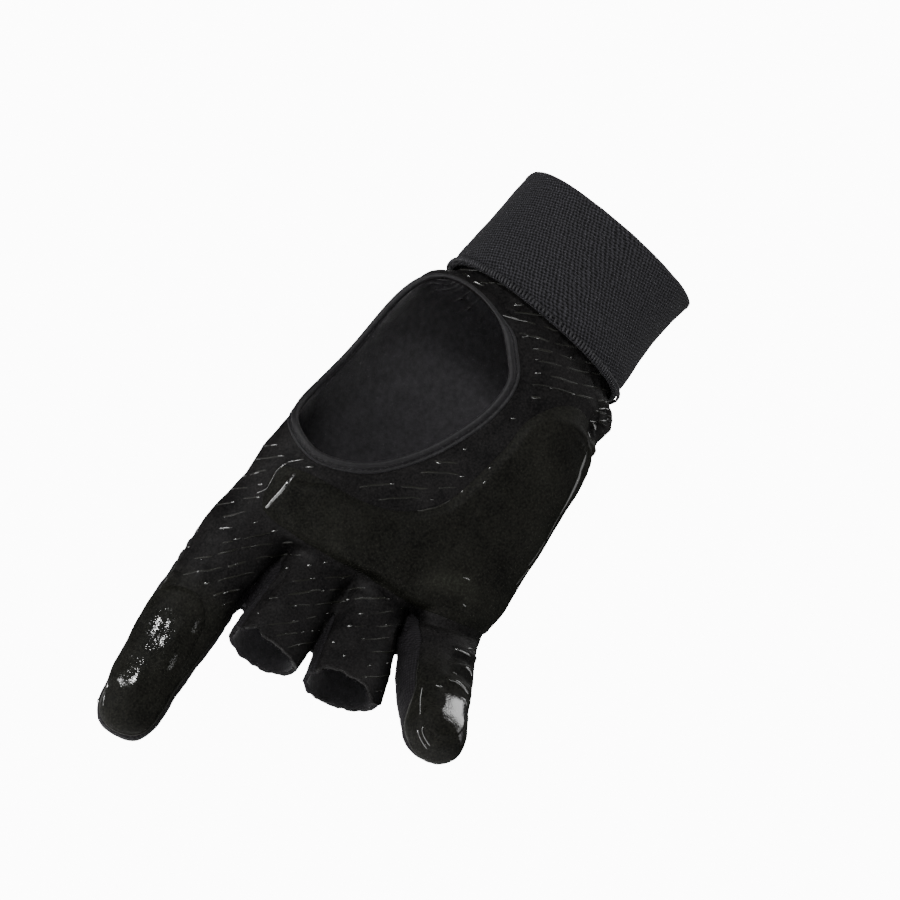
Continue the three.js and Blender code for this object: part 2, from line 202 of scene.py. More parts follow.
RIGHT, UP, BACK = camera_axes()
FOCAL = PIXELS_PER_MM * DISTANCE
OFFSET = ((ORIGIN_PX[0] - MIDDLE) / PIXELS_PER_MM, (MIDDLE - ORIGIN_PX[1]) / PIXELS_PER_MM)
TARGET = -OFFSET[0] * RIGHT - OFFSET[1] * UP
EYE = TARGET + DISTANCE * BACK


def placed(name, data, place=None, turn=None):
    """An object in the scene; its place is in millimetres."""
    obj = bpy.data.objects.new(name, data)
    if place:
        obj.matrix_world = Matrix.LocRotScale(place * MM, turn, None)
    bpy.context.scene.collection.objects.link(obj)
    return obj


camera_data = bpy.data.cameras.new("camera")
camera_data.sensor_width = SENSOR
camera_data.lens = SENSOR * FOCAL / IMAGE
facing = Matrix((RIGHT, UP, BACK)).transposed().to_quaternion()
bpy.context.scene.camera = placed("camera", camera_data, EYE, facing)


def pixel_ray(u, v):
    """Direction from the camera through a pixel."""
    across, up = float(u - MIDDLE) / FOCAL, float(MIDDLE - v) / FOCAL
    return (across * RIGHT + up * UP - BACK).normalized()


# Smooth tables and lofts

def unit(v):
    return v / np.linalg.norm(v)


def unit_rows(v):
    """Each row at length 1."""
    return v / np.maximum(np.linalg.norm(v, axis=1, keepdims=True), 1e-9)


def bell(x, width):
    """1 at x = 0, falling to nothing at about twice the width."""
    return np.exp(-((x / width) ** 2))


def smooth_value(before, start, end, after, t):
    """The value at t, from 0 at start to 1 at end, on a smooth curve through all four."""
    rise, fall = (end - before) / 2, (after - start) / 2
    t2, t3 = t * t, t * t * t
    return (
        (2 * t3 - 3 * t2 + 1) * start
        + (t3 - 2 * t2 + t) * rise
        + (3 * t2 - 2 * t3) * end
        + (t3 - t2) * fall
    )


def row_at(table, s, closed=False):
    """The row at place s of a table, where 1.5 lies halfway past its second row."""
    count = len(table)

    def pick(i):
        return table[i % count] if closed else table[min(max(i, 0), count - 1)]

    i = math.floor(s) if closed else min(math.floor(s), count - 2)
    return {
        key: smooth_value(*(pick(k)[key] for k in (i - 1, i, i + 1, i + 2)), s - i)
        for key in table[0]
    }


def unit_section(angle):
    """Across and palmward parts of a unit section at angles counted through the palm."""
    c, s = np.cos(angle), np.sin(angle)
    power = 2 / BOXINESS
    return np.sign(c) * abs(c) ** power, np.sign(s) * abs(s) ** power


def body_points(row, angle, inset=0.0):
    """Points round the hand's or the band's section, at angles counted through the palm."""
    centre_x, centre_y = (row["radial"] + row["ulnar"]) / 2, (row["palm"] + row["back"]) / 2
    across, palmward = unit_section(angle)
    x = centre_x + across * ((row["ulnar"] - row["radial"]) / 2 - inset)
    dip = np.clip(palmward, 0, None) * row["hollow"] * bell(across, 0.45)
    y = centre_y - palmward * ((row["back"] - row["palm"]) / 2 - inset) + dip
    y = y - row["arch"] * across**2
    z = row["z"] + math.tan(math.radians(row["tilt"])) * (x - centre_x)
    return np.stack([x, y, z], -1)


def ring_angles(sides):
    return np.arange(sides) / sides * TURN


def body_row_at_height(z):
    """The body's row whose middle height is z."""
    for place in range(len(BODY) - 1):
        if BODY[place + 1]["z"] <= z:
            break
    start, end = BODY[place]["z"], BODY[place + 1]["z"]
    return row_at(BODY, place + (start - z) / (start - end))


def finger_frame(stations, s):
    """Centre, along, across and palmward directions, width and depth at place s."""
    last = len(stations) - 1
    at, before, after = (row_at(stations, min(max(k, 0), last)) for k in (s, s - 0.05, s + 0.05))
    centre = np.array([at["x"], at["y"], at["z"]])
    along = unit(np.array([after[k] - before[k] for k in "xyz"]))
    across = unit(np.cross([0, -1, 0], along))
    return centre, along, across, np.cross(along, across), at["width"], at["depth"]


def finger_ring(finger, s, forward=0.0, scale=1.0):
    """The finger's section at place s, moved forward and scaled for the rings of its tip."""
    centre, along, across, palmward, width, depth = finger_frame(finger["stations"], s)
    a, p = unit_section(ring_angles(FINGER_SIDES))
    ring = centre + along * forward
    return ring + np.outer(a, across) * width / 2 * scale + np.outer(p, palmward) * depth / 2 * scale


def grid_faces(rows, sides, tube=True, closed=False, flipped=False, first=0):
    """Faces between rows of equally many points; a tube's rows are rings, and a closed grid's last
    row meets its first."""
    r = np.arange(rows if closed else rows - 1)[:, None]
    i = np.arange(sides if tube else sides - 1)
    j = (i + 1) % sides
    here, there = first + r * sides, first + (r + 1) % rows * sides
    corners = (here + i, there + i, there + j, here + j)
    if flipped:
        corners = (here + i, here + j, there + j, there + i)
    return np.stack(np.broadcast_arrays(*corners), -1).reshape(-1, 4).tolist()


def loft(rings, end_tip=None):
    """Points and faces of a closed form through rings of equally many points."""
    rings = np.asarray(rings)
    count, sides = rings.shape[:2]
    end_tip = rings[-1].mean(0) if end_tip is None else end_tip
    points = np.concatenate([rings.reshape(-1, 3), [rings[0].mean(0), end_tip]])
    faces = grid_faces(count, sides, flipped=True)
    start, end, last = count * sides, count * sides + 1, (count - 1) * sides
    for i in range(sides):
        j = (i + 1) % sides
        faces += [(start, j, i), (end, last + i, last + j)]
    return points, faces


def body_form():
    places = np.linspace(0, len(BODY) - 1, 64)
    rings = [body_points(row_at(BODY, s), ring_angles(HAND_SIDES)) for s in places]
    return loft(rings, end_tip=rings[-1].mean(0) + [0, 0, -3])


def finger_form(finger):
    last = len(finger["stations"]) - 1
    rings = [finger_ring(finger, s) for s in np.linspace(0, last, 14 * last)]
    if not finger["dome"]:
        rings.append(finger_ring(finger, last, forward=SLEEVE_RUN))
        return loft(rings)
    for u in (0.2, 0.4, 0.55, 0.7, 0.82, 0.9, 0.96):
        scale = (1 - u**TIP_ROUNDNESS) ** (1 / TIP_ROUNDNESS)
        rings.append(finger_ring(finger, last, finger["dome"] * u, scale))
    centre, along = finger_frame(finger["stations"], last)[:2]
    return loft(rings, end_tip=centre + along * finger["dome"])


# Mesh tools

def mesh_object(name, points, faces):
    mesh = bpy.data.meshes.new(name)
    mesh.from_pydata((np.asarray(points) * MM).tolist(), [], [tuple(f) for f in faces])
    mesh.validate()
    mesh.shade_smooth()
    return placed(name, mesh)


def applied(obj):
    """A new mesh of obj with its modifiers applied."""
    graph = bpy.context.evaluated_depsgraph_get()
    return bpy.data.meshes.new_from_object(obj.evaluated_get(graph), depsgraph=graph)


def join_forms(forms):
    points, faces, offset = [], [], 0
    for p, f in forms:
        points.append(p)
        faces += [tuple(i + offset for i in face) for face in f]
        offset += len(p)
    return np.concatenate(points), faces


def triangles_of(mesh):
    mesh.calc_loop_triangles()
    points = np.empty(len(mesh.vertices) * 3)
    mesh.vertices.foreach_get("co", points)
    tris = np.empty(len(mesh.loop_triangles) * 3, int)
    mesh.loop_triangles.foreach_get("vertices", tris)
    return points.reshape(-1, 3) / MM, tris.reshape(-1, 3)


def edges_of(tris):
    return np.concatenate([tris[:, [0, 1]], tris[:, [1, 2]], tris[:, [2, 0]]])


def neighbours(tris):
    edges = np.unique(np.sort(edges_of(tris), 1), axis=0)
    return np.concatenate([edges[:, 0], edges[:, 1]]), np.concatenate([edges[:, 1], edges[:, 0]])


def smoothed(values, links, rounds, weight=0.5):
    """Values at the points, each drawn towards its neighbours' mean."""
    here, there = links
    count = np.maximum(np.bincount(here, minlength=len(values)), 1)
    values = np.array(values, float)
    flat = values.reshape(len(values), -1)
    weight = np.broadcast_to(np.asarray(weight, float), (len(values),))
    for _ in range(rounds):
        for k in range(flat.shape[1]):
            mean = np.bincount(here, flat[there, k], minlength=len(values)) / count
            flat[:, k] += (mean - flat[:, k]) * weight
    return flat.reshape(values.shape)


def normals_of(points, tris):
    a, b, c = (points[tris[:, k]] for k in range(3))
    n = np.cross(b - a, c - a)
    sums = [
        sum(np.bincount(tris[:, c], n[:, k], minlength=len(points)) for c in range(3))
        for k in range(3)
    ]
    return unit_rows(np.stack(sums, -1))


def contour(tris, field, values):
    """Where field = 0 crosses the mesh: values at the crossings, and the crossings in pairs."""
    field = np.where(abs(field) < 1e-3, 1e-3, field)
    above = field > 0
    count = above[tris].sum(1)
    mixed = tris[(count == 1) | (count == 2)]
    alone = above[mixed].sum(1) == 1
    first = (above[mixed] == alone[:, None]).argmax(1)
    rows = np.arange(len(mixed))
    a, b, c = (mixed[rows, (first + k) % 3] for k in range(3))
    pairs = np.sort(np.concatenate([np.stack([a, b], 1), np.stack([a, c], 1)]), 1)
    keys, place = np.unique(pairs, axis=0, return_inverse=True)
    place = place.reshape(2, -1)
    t = field[keys[:, 0]] / (field[keys[:, 0]] - field[keys[:, 1]])
    crossed = {}
    for name, v in values.items():
        w = t.reshape((-1,) + (1,) * (v.ndim - 1))
        crossed[name] = v[keys[:, 0]] * (1 - w) + v[keys[:, 1]] * w
    return crossed, place[0], place[1], (a, b, c, alone, count)


def cut(tris, field, values):
    """The mesh above field = 0 and the mesh below it, each as (triangles, values)."""
    crossed, ab, ac, (a, b, c, alone, count) = contour(tris, field, values)
    size = len(field)
    ab, ac = ab + size, ac + size
    joined = {k: np.concatenate([v, crossed[k]]) for k, v in values.items()}
    lone = np.stack([a, ab, ac], 1)
    pair = np.concatenate([np.stack([ab, b, c], 1), np.stack([ab, c, ac], 1)])
    both = np.concatenate([alone, alone])
    sides = []
    for whole, ends, rest in ((3, alone, ~both), (0, ~alone, both)):
        kept = np.concatenate([tris[count == whole], lone[ends], pair[rest]])
        used, new = np.unique(kept, return_inverse=True)
        sides.append((new.reshape(-1, 3), {k: v[used] for k, v in joined.items()}))
    return sides


def subdivided(tris, values):
    """Every triangle split into four at its edges' middles."""
    keys, place = np.unique(np.sort(edges_of(tris), 1), axis=0, return_inverse=True)
    size = len(next(iter(values.values())))
    ab, bc, ca = place.reshape(3, -1) + size
    a, b, c = tris.T
    joined = {k: np.concatenate([v, (v[keys[:, 0]] + v[keys[:, 1]]) / 2]) for k, v in values.items()}
    split = [np.stack(t, 1) for t in ((a, ab, ca), (ab, b, bc), (ca, bc, c), (ab, bc, ca))]
    return np.concatenate(split), joined


def slab(name, tris, top, bottom):
    """A closed piece between two layers of one surface."""
    size = len(top)
    edges = dict.fromkeys(map(tuple, edges_of(tris).tolist()))
    rim = [(a, b) for a, b in edges if (b, a) not in edges]
    walls = [(b, a, a + size) for a, b in rim] + [(b, a + size, b + size) for a, b in rim]
    faces = np.concatenate([tris, tris[:, ::-1] + size, np.array(walls)])
    return mesh_object(name, np.concatenate([top, bottom]), faces.tolist())


def chains(ab, ac):
    """Ordered runs of point numbers from loose pairs, each with whether it closes on itself."""
    links = {}
    for a, b in zip(ab.tolist(), ac.tolist()):
        links.setdefault(a, []).append(b)
        links.setdefault(b, []).append(a)
    used, runs = set(), []
    ends = [k for k, v in links.items() if len(v) == 1]
    for start in ends + list(links):
        if start in used:
            continue
        run = [start]
        used.add(start)
        onward = True
        while onward:
            onward = [k for k in links[run[-1]] if k not in used][:1]
            run += onward
            used.update(onward)
        runs.append((run, len(run) > 2 and run[0] in links[run[-1]]))
    return runs


def run_lengths(run):
    return np.concatenate([[0], np.cumsum(np.linalg.norm(np.diff(run, axis=0), axis=1))])


def resampled(run, step, closed=False):
    """The run with its points an even step apart, measured on its first three columns."""
    if closed:
        run = np.concatenate([run, run[:1]])
    at = run_lengths(run[:, :3])
    count = max(int(round(at[-1] / step)), 3)
    want = np.linspace(0, at[-1], count + 1)
    want = want[:-1] if closed else want
    return np.stack([np.interp(want, at, column) for column in run.T], -1)


def relaxed(run, rounds, closed=False):
    """The run with its small corners smoothed away."""
    run = np.array(run, float)
    for _ in range(rounds):
        if closed:
            run = (np.roll(run, 1, 0) + 2 * run + np.roll(run, -1, 0)) / 4
        elif len(run) > 2:
            run[1:-1] = (run[:-2] + 2 * run[1:-1] + run[2:]) / 4
    return run


def distance_to_run(points, run, closed=False):
    """Distance of each point from a polyline, and the share along it of the nearest place."""
    ends = np.roll(run, -1, 0) if closed else run[1:]
    starts = run if closed else run[:-1]
    best = np.full(len(points), 1e9)
    place = np.zeros(len(points))
    for k, (a, b) in enumerate(zip(starts, ends)):
        d = b - a
        t = np.clip(((points - a) @ d) / max(d @ d, 1e-12), 0, 1)
        gap = np.linalg.norm(points - (a + t[:, None] * d), axis=1)
        near = gap < best
        best[near] = gap[near]
        place[near] = (k + t[near]) / len(starts)
    return best, place


def inside_outline(uv, outline):
    x, y = uv[:, 0], uv[:, 1]
    inside = np.zeros(len(uv), bool)
    for (x0, y0), (x1, y1) in zip(outline, np.roll(outline, -1, 0)):
        crosses = (y0 > y) != (y1 > y)
        slope = (x1 - x0) / (y1 - y0) if y1 != y0 else 0
        inside ^= crosses & (x < x0 + (y - y0) * slope)
    return inside


def signed_distance(uv, outline):
    gap = distance_to_run(uv, outline, closed=True)[0]
    return np.where(inside_outline(uv, outline), gap, -gap)


def smoothstep(v, low, high):
    t = np.clip((v - low) / (high - low), 0, 1)
    return t * t * (3 - 2 * t)


def waves(points, pitch, seed, count=7):
    """Soft unevenness of about -1 to 1 with bumps about a pitch apart."""
    rng = np.random.default_rng(seed)
    total = np.zeros(len(points))
    for _ in range(count):
        way = unit(rng.normal(size=3)) * TURN / (pitch * rng.uniform(0.7, 1.5))
        total += np.sin(points @ way + rng.uniform(0, 6.3))
    return total / math.sqrt(count)


# The skin: the glove's whole outer surface

def make_skin():
    points, faces = join_forms([body_form()] + [finger_form(f) for f in FINGERS.values()])
    rough = mesh_object("rough_skin", points, faces)
    remesh = rough.modifiers.new("remesh", "REMESH")
    remesh.mode = "VOXEL"
    remesh.voxel_size = VOXEL * MM
    mesh = applied(rough)
    points, tris = triangles_of(mesh)
    bpy.data.objects.remove(rough)
    links = neighbours(tris)
    webs = bell(knuckle_height(points), 9)
    points = smoothed(points, links, 24, 0.5 * webs)
    return smoothed(points, links, 5), tris, links


def finger_coordinates(points):
    """For each point its nearest finger, its length past the root station, its place, and its
    offsets across and palmward in millimetres and (as a and p) against the finger's half size."""
    count = len(points)
    best = np.full(count, 1e9)
    out = {k: np.zeros(count) for k in ("finger", "length", "place", "across", "palmward", "a", "p")}
    for number, finger in enumerate(FINGERS.values()):
        last = len(finger["stations"]) - 1
        places = np.linspace(0, last, 30 * last)
        centre, along, across, palmward, width, depth = (
            np.array(v) for v in zip(*(finger_frame(finger["stations"], s) for s in places))
        )
        lengths = run_lengths(centre)
        near = np.zeros(count, int)
        gap = np.full(count, 1e9)
        for k, c in enumerate(centre):
            d = ((points - c) ** 2).sum(1)
            closer = d < gap
            gap[closer] = d[closer]
            near[closer] = k
        offset = points - centre[near]
        beyond = (offset * along[near]).sum(1)
        x = (offset * across[near]).sum(1)
        y = (offset * palmward[near]).sum(1)
        radius = np.hypot(x / width[near] * 2, y / depth[near] * 2)
        place = places[near] + beyond / np.maximum(np.gradient(lengths, places)[near], 1)
        if finger["dome"]:
            on_tip = (near == len(places) - 1) & (beyond > 0)
            place = np.where(on_tip, last + beyond / finger["dome"], place)
        better = radius < best
        best[better] = radius[better]
        found = dict(
            finger=np.full(count, number),
            length=lengths[near] + beyond,
            place=place,
            across=x,
            palmward=y,
            a=x / width[near] * 2,
            p=y / depth[near] * 2,
        )
        for key, value in found.items():
            out[key][better] = value[better]
    return out


def knuckle_height(points):
    """Millimetres past the knuckle line, towards the fingertips."""
    slope = math.tan(math.radians(KNUCKLES["tilt"]))
    return KNUCKLES["z"] + slope * (points[:, 0] - KNUCKLES["x"]) - points[:, 2]


def closed_table(table, count):
    """Rows evenly placed round a table whose last row meets its first."""
    return [row_at(table, i / count * len(table), closed=True) for i in range(count)]


def thumb_edge():
    """Points of the thumb opening's edge on the hand."""
    rows = closed_table(THUMB_EDGE, 160)
    return np.array([body_points(body_row_at_height(r["z"]), np.radians(r["around"])) for r in rows])


THUMB_WAY = unit(np.array([-0.75, -0.65, -0.08]))  # out of the opening


def thumb_field(points, normals):
    """Millimetres inside the thumb opening's edge, and below 0 outside it."""
    edge = thumb_edge()
    gap = distance_to_run(points, edge, closed=True)[0]
    u = unit(np.cross(THUMB_WAY, [0, 0, 1]))
    plane = np.stack([u, np.cross(THUMB_WAY, u)], 1)
    inside = inside_outline(points @ plane, edge @ plane) & (normals @ THUMB_WAY > -0.05)
    return np.where(inside, gap, -gap)


def of_finger(fc, measure):
    """A measure of each point's own finger."""
    return np.array([measure(f) for f in FINGERS.values()])[fc["finger"].astype(int)]


def around_finger(fc):
    """Degrees round the finger, from its little-finger side through the palm."""
    return np.degrees(np.arctan2(fc["p"], fc["a"])) % 360


def seam_field(points, fc):
    """Above 0 on the coated palm side and below 0 on the knit back and sides."""
    rows = sorted(BODY, key=lambda r: r["z"])
    middle = [(r["palm"] + r["back"]) / 2 for r in rows]
    on_body = np.interp(points[:, 2], [r["z"] for r in rows], middle) - points[:, 1]
    radial = of_finger(fc, lambda f: f["radial_seam"])
    ulnar = of_finger(fc, lambda f: f["ulnar_seam"])
    tip = of_finger(fc, lambda f: f["tip_seam"])
    last = of_finger(fc, lambda f: len(f["stations"]) - 1)
    height = (ulnar + radial) / 2 + (ulnar - radial) / 20 * fc["across"]
    on_finger = fc["palmward"] - (height - tip * smoothstep(fc["place"] - last, -0.6, 0.2))
    share = smoothstep(knuckle_height(points), -14, 2)
    return on_body * (1 - share) + on_finger * share


def cloth_coordinates(points, fc):
    """Millimetres round and along the hand or finger at each point, for the knit."""
    x, y, z = points.T
    flat = np.clip(x, -20, 20)
    on_body = flat + 19 * np.arctan2(x - flat, np.maximum(y + 2, 0) + 6)
    root_x = of_finger(fc, lambda f: f["stations"][0]["x"])
    root_z = of_finger(fc, lambda f: f["stations"][0]["z"])
    on_finger = root_x + FINGER_RADIUS * np.arctan2(fc["a"], -fc["p"])
    share = smoothstep(knuckle_height(points), -16, 6)
    across = on_body * (1 - share) + on_finger * share
    return np.stack([across, z * (1 - share) + (root_z - fc["length"]) * share], -1)


def palm_pad_field(points, normals):
    outline = np.array([[r["x"], r["z"]] for r in closed_table(PAD_OUTLINE, 120)])
    field = signed_distance(points[:, [0, 2]], outline)
    return np.minimum(np.minimum(field, PAD_BACK_EDGE - points[:, 1]), 6 - normals[:, 1] * 30)


def tip_pad_field(fc, name):
    finger = FINGERS[name]
    last = len(finger["stations"]) - 1
    around = around_finger(fc)
    around = np.where(around > 300, around - 360, around)

    def flat(around, place):
        beyond = np.clip(place - last, 0, 1)
        down = np.minimum(place, last) * STATION_STEP + beyond * finger["dome"] * 1.2
        reach = FINGER_RADIUS * np.sqrt(np.clip(1 - beyond**2, 0.05, 1))
        return np.stack([np.radians(around - 120) * reach, down], -1)

    rows = closed_table(TIP_PADS[name], 90)
    outline = flat(np.array([r["around"] for r in rows]), np.array([r["place"] for r in rows]))
    field = signed_distance(flat(around, fc["place"]), outline)
    mine = (fc["finger"] == NUMBER_OF[name]) & (fc["place"] > 1.5)
    return np.where(mine, field, -20)


def pad_field(part, points, fc, normals):
    """Above 0 within the outline of the palm's pad or of a fingertip's."""
    return palm_pad_field(points, normals) if part == "palm" else tip_pad_field(fc, part)


PIXEL_STEP = 3


class Surface:
    """A mesh that rays from the photograph and single points are set on."""

    def __init__(self, points, tris):
        self.tree = BVHTree.FromPolygons(points.tolist(), tris.tolist())
        self.tris = tris
        self.normals = normals_of(points, tris)

    def at_pixels(self, pixels, step=1.0):
        """The photograph's polyline laid on the surface."""
        flat = np.column_stack([pixels, np.zeros(len(pixels))])
        pixels = resampled(flat, PIXEL_STEP)[:, :2]
        hits = [self.tree.ray_cast(EYE, pixel_ray(u, v))[0] for u, v in pixels]
        hits = np.array([h for h in hits if h is not None]).reshape(-1, 3)
        return resampled(hits, step) if len(hits) > 1 else hits

    def settled(self, run):
        """The run's points drawn onto the surface, and the surface's direction there."""
        places, ways = [], []
        for p in run:
            place, _, face, _ = self.tree.find_nearest(Vector(p))
            places.append(place)
            ways.append(unit(self.normals[self.tris[face]].sum(0)))
        return np.array(places), np.array(ways)


skin, skin_tris, skin_links = make_skin()
fc = finger_coordinates(skin)
skin_normals = unit_rows(smoothed(normals_of(skin, skin_tris), skin_links, 3))
bare = Surface(skin, skin_tris)
thumb = thumb_field(skin, skin_normals)
seam = seam_field(skin, fc)

# Folds and creases drawn over the photograph: the height of each in millimetres (below 0 for a
# groove), half its width, and pixels along it
FOLDS = named_rows(
    "height width path",
    # Base of the little finger
    (-2, 1.6, [(404, 612), (424, 619), (444, 624), (464, 631), (477, 639), (488, 644)]),
    # Little finger, thumb side of the fold and its ulnar side
    (0.9, 1.1, [(448, 650), (458, 651), (469, 655), (480, 663)]),
    (-0.7, 1.2, [(446, 656), (458, 658), (468, 662), (476, 669)]),
    (0.9, 1.1, [(448, 664), (460, 666), (468, 669), (477, 679)]),
    (-0.8, 1.2, [(444, 671), (456, 673), (466, 678), (474, 687)]),
    (1.0, 1.2, [(438, 680), (451, 680), (462, 686), (474, 698)]),
    (-0.7, 1.0, [(440, 687), (452, 689), (461, 695), (470, 706)]),
    (0.5, 0.9, [(452, 694), (461, 699), (468, 708)]),
    # Gathered side panel between ring and little finger
    (0.9, 1.0, [(392, 648), (392, 634), (397, 624), (405, 619)]),
    (-1.1, 1.0, [(398, 650), (399, 638), (403, 629), (409, 625)]),
    (0.8, 1.0, [(404, 652), (404, 641), (408, 633), (414, 629)]),
    (-0.8, 0.9, [(410, 655), (409, 645), (413, 637)]),
    # Between index and middle finger, and middle and ring finger
    (-1.0, 1.6, [(262, 600), (276, 583), (290, 570)]),
    (-0.8, 1.5, [(331, 606), (342, 596), (352, 588)]),
    (0.5, 1.1, [(336, 596), (350, 592), (366, 597)]),
    # Below the palm pad, where the palm bends towards the fingers
    (-0.9, 1.6, [(318, 552), (345, 567), (372, 580), (396, 595), (410, 607)]),
    (0.45, 1.4, [(300, 570), (330, 578), (360, 584), (388, 590)]),
    # Lip at the index finger's tip
    (1.3, 2.2, [(117, 661), (110, 670), (105, 680)]),
    # Under the bunch at the ulnar edge
    (-2.4, 4, [(588, 427), (594, 430), (599, 432)]),
    (-2.2, 3.2, [(600, 424), (604, 429), (602, 435)]),
    (0.9, 2.4, [(588, 444), (592, 446), (594, 449)]),
    # Strip between the thumb opening and the wrist
    (0.6, 1.0, [(440, 270), (462, 280), (484, 293), (505, 310)]),
    (0.5, 1.1, [(470, 290), (492, 303), (512, 322), (528, 345)]),
    (-0.5, 1.0, [(486, 296), (506, 308), (530, 328)]),
)

# Places where the coating is a smooth film, outlined on the photograph in pixels: how whole the film
# is, from 0.6 in few specks to 2.2 unbroken
FILMS = named_rows(
    "whole outline",
    # Little finger, beside its pad
    (2.2, [
        (446, 694), (452, 694), (460, 699), (468, 706), (470, 717), (470, 735), (466, 749), (461, 744),
        (459, 734), (455, 727), (449, 721), (443, 716), (442, 711), (446, 704),
    ]),
    # Index finger
    (1.18, [(149, 636), (152, 627), (158, 617), (162, 618), (157, 630), (153, 637)]),
    (1.18, [(158, 647), (162, 633), (168, 619), (172, 619), (168, 634), (163, 647)]),
    (1.2, [
        (117, 678), (122, 677), (127, 680), (133, 676), (137, 669), (141, 668), (139, 676), (134, 684),
        (125, 687), (119, 684),
    ]),
    (1.1, [(127, 672), (130, 662), (135, 664), (131, 673)]),
    (0.6, [(143, 650), (150, 610), (178, 605), (178, 630), (164, 656)]),
    (0.6, [(114, 684), (122, 662), (134, 652), (148, 660), (140, 688), (124, 692)]),
    (1.12, [(190, 633), (196, 616), (201, 617), (195, 634)]),
    (1.12, [(166, 670), (174, 653), (179, 655), (172, 671)]),
)
# Where the palm pad is painted paler: a painted sheen of light where it bulges
PAINTED_SHEEN_PATCHES = named_rows(
    "whole outline",
    (1.0, [
        (421, 584), (430, 575), (448, 572), (466, 577), (476, 588), (474, 602), (466, 606), (458, 596),
        (440, 592),
    ]),
)


def to_pixels(points):
    """Where points are seen in the photograph."""
    offset = points - np.array(EYE)
    depth = -offset @ np.array(BACK)
    u = MIDDLE + FOCAL * (offset @ np.array(RIGHT)) / depth
    return np.stack([u, MIDDLE - FOCAL * (offset @ np.array(UP)) / depth], -1)


def painted_share(points, normals, patches, soft):
    """How whole the patch is at each point that the camera sees, and 0 outside it."""
    pixels = to_pixels(points)
    seen = ((np.array(EYE) - points) * normals).sum(1) > 0
    share = np.zeros(len(points))
    for patch in patches:
        outline = np.array(patch["outline"], float)
        low, high = outline.min(0) - 9, outline.max(0) + 9
        near = seen & ((pixels > low) & (pixels < high)).all(1)
        inside = np.clip(0.6 + signed_distance(pixels[near], outline) / soft, 0, 1)
        share[near] = np.maximum(share[near], patch["whole"] * inside)
    return share


def paint(obj, name, values):
    """A number at each point, for the materials."""
    obj.data.attributes.new(name, "FLOAT", "POINT").data.foreach_set("value", values)


def paint_film(obj):
    points, tris = triangles_of(obj.data)
    normals = normals_of(points, tris)
    paint(obj, "film", painted_share(points, normals, FILMS, 4))
    # The pale share is a painted sheen of light on the palm pad's bulge
    paint(obj, "pale", painted_share(points, normals, PAINTED_SHEEN_PATCHES, 12))


def fold_heights(points):
    total = np.zeros(len(points))
    for fold in FOLDS:
        run = bare.at_pixels(fold["path"])
        if len(run) < 2:
            continue
        gap, share = distance_to_run(points, run)
        taper = np.clip(np.minimum(share, 1 - share) * 5, 0, 1)
        total += fold["height"] * taper * bell(gap, fold["width"])
    return total


def gathers(points):
    """Gathers under the wrist band and at the ulnar edge, and creases behind the knuckles."""
    x, y, z = points.T
    angle = np.arctan2(y, x * 0.55)
    under = np.exp(-np.clip(-41 - z, 0, None) / 5.5)
    total = 0.45 * under * np.sin(34 * angle + 1.4 * waves(points, 30, 3)) * waves(points, 22, 5)
    ulnar = bell(x - 36, 9) * smoothstep(-z, 40, 44) * (1 - smoothstep(-z, 60, 74))
    bunch = np.sin((z + 0.3 * y) * TURN / 4.4 + 2.2 * waves(points, 15, 8))
    total += 0.65 * ulnar * (0.55 + 0.5 * waves(points, 8, 9)) * bunch
    behind = smoothstep(y, 0, 8) * bell(knuckle_height(points) + 9, 9)
    crease = knuckle_height(points) * TURN / 8 + 2 * waves(points, 16, 11)
    total += 0.3 * behind * np.sin(crease)
    return total


def side_wrinkles(points, fc):
    """Small cross wrinkles of the knit side panels of the fingers."""
    side = smoothstep(abs(fc["a"]), 0.6, 0.95) * smoothstep(fc["p"], -0.75, -0.3)
    side *= 1 - smoothstep(fc["p"], 0.3, 0.7)
    on_finger = smoothstep(knuckle_height(points), -4, 8)
    slant = fc["palmward"] * 0.35
    ripple = np.sin(fc["length"] * TURN / 4.3 + slant + 2.2 * waves(points, 12, 22))
    near_base = 1 - 0.8 * smoothstep(knuckle_height(points), 12, 30)
    return 0.26 * side * on_finger * near_base * ripple * (0.6 + 0.5 * waves(points, 9, 23))


relief = fold_heights(skin) + gathers(skin) + side_wrinkles(skin, fc)
relief += 0.22 * waves(skin, 17, 1) + 0.1 * waves(skin, 7, 2)
relief -= 0.45 * bell(seam, 0.8) * (knuckle_height(skin) > -20)
relief *= smoothstep(abs(thumb), 1, 5)
relief = np.where(skin[:, 2] > UNDER_BAND, np.minimum(relief, 0), relief)
shaped = skin + skin_normals * relief[:, None]


# Cutting the skin

def sleeve_ends(name, pixels):
    """Millimetres past the ragged end of a short finger's sleeve."""
    stations = FINGERS[name]["stations"]
    places = np.linspace(0, len(stations) - 1, 60)
    unseen_end = run_lengths(np.array([finger_frame(stations, s)[0] for s in places]))[-1] + 0.5
    seen = finger_coordinates(bare.at_pixels(pixels, 0.5))
    seen_around = around_finger(seen)
    order = np.argsort(seen_around)
    angles = np.concatenate([[0], seen_around[order], [360]])
    ends = np.concatenate([[unseen_end], seen["length"][order], [unseen_end]])
    end = np.interp(around_finger(fc), angles, ends) + 0.25 * waves(skin, 3.5, 31)
    mine = (fc["finger"] == NUMBER_OF[name]) & (knuckle_height(skin) > 0)
    return np.where(mine, fc["length"] - end, -8)


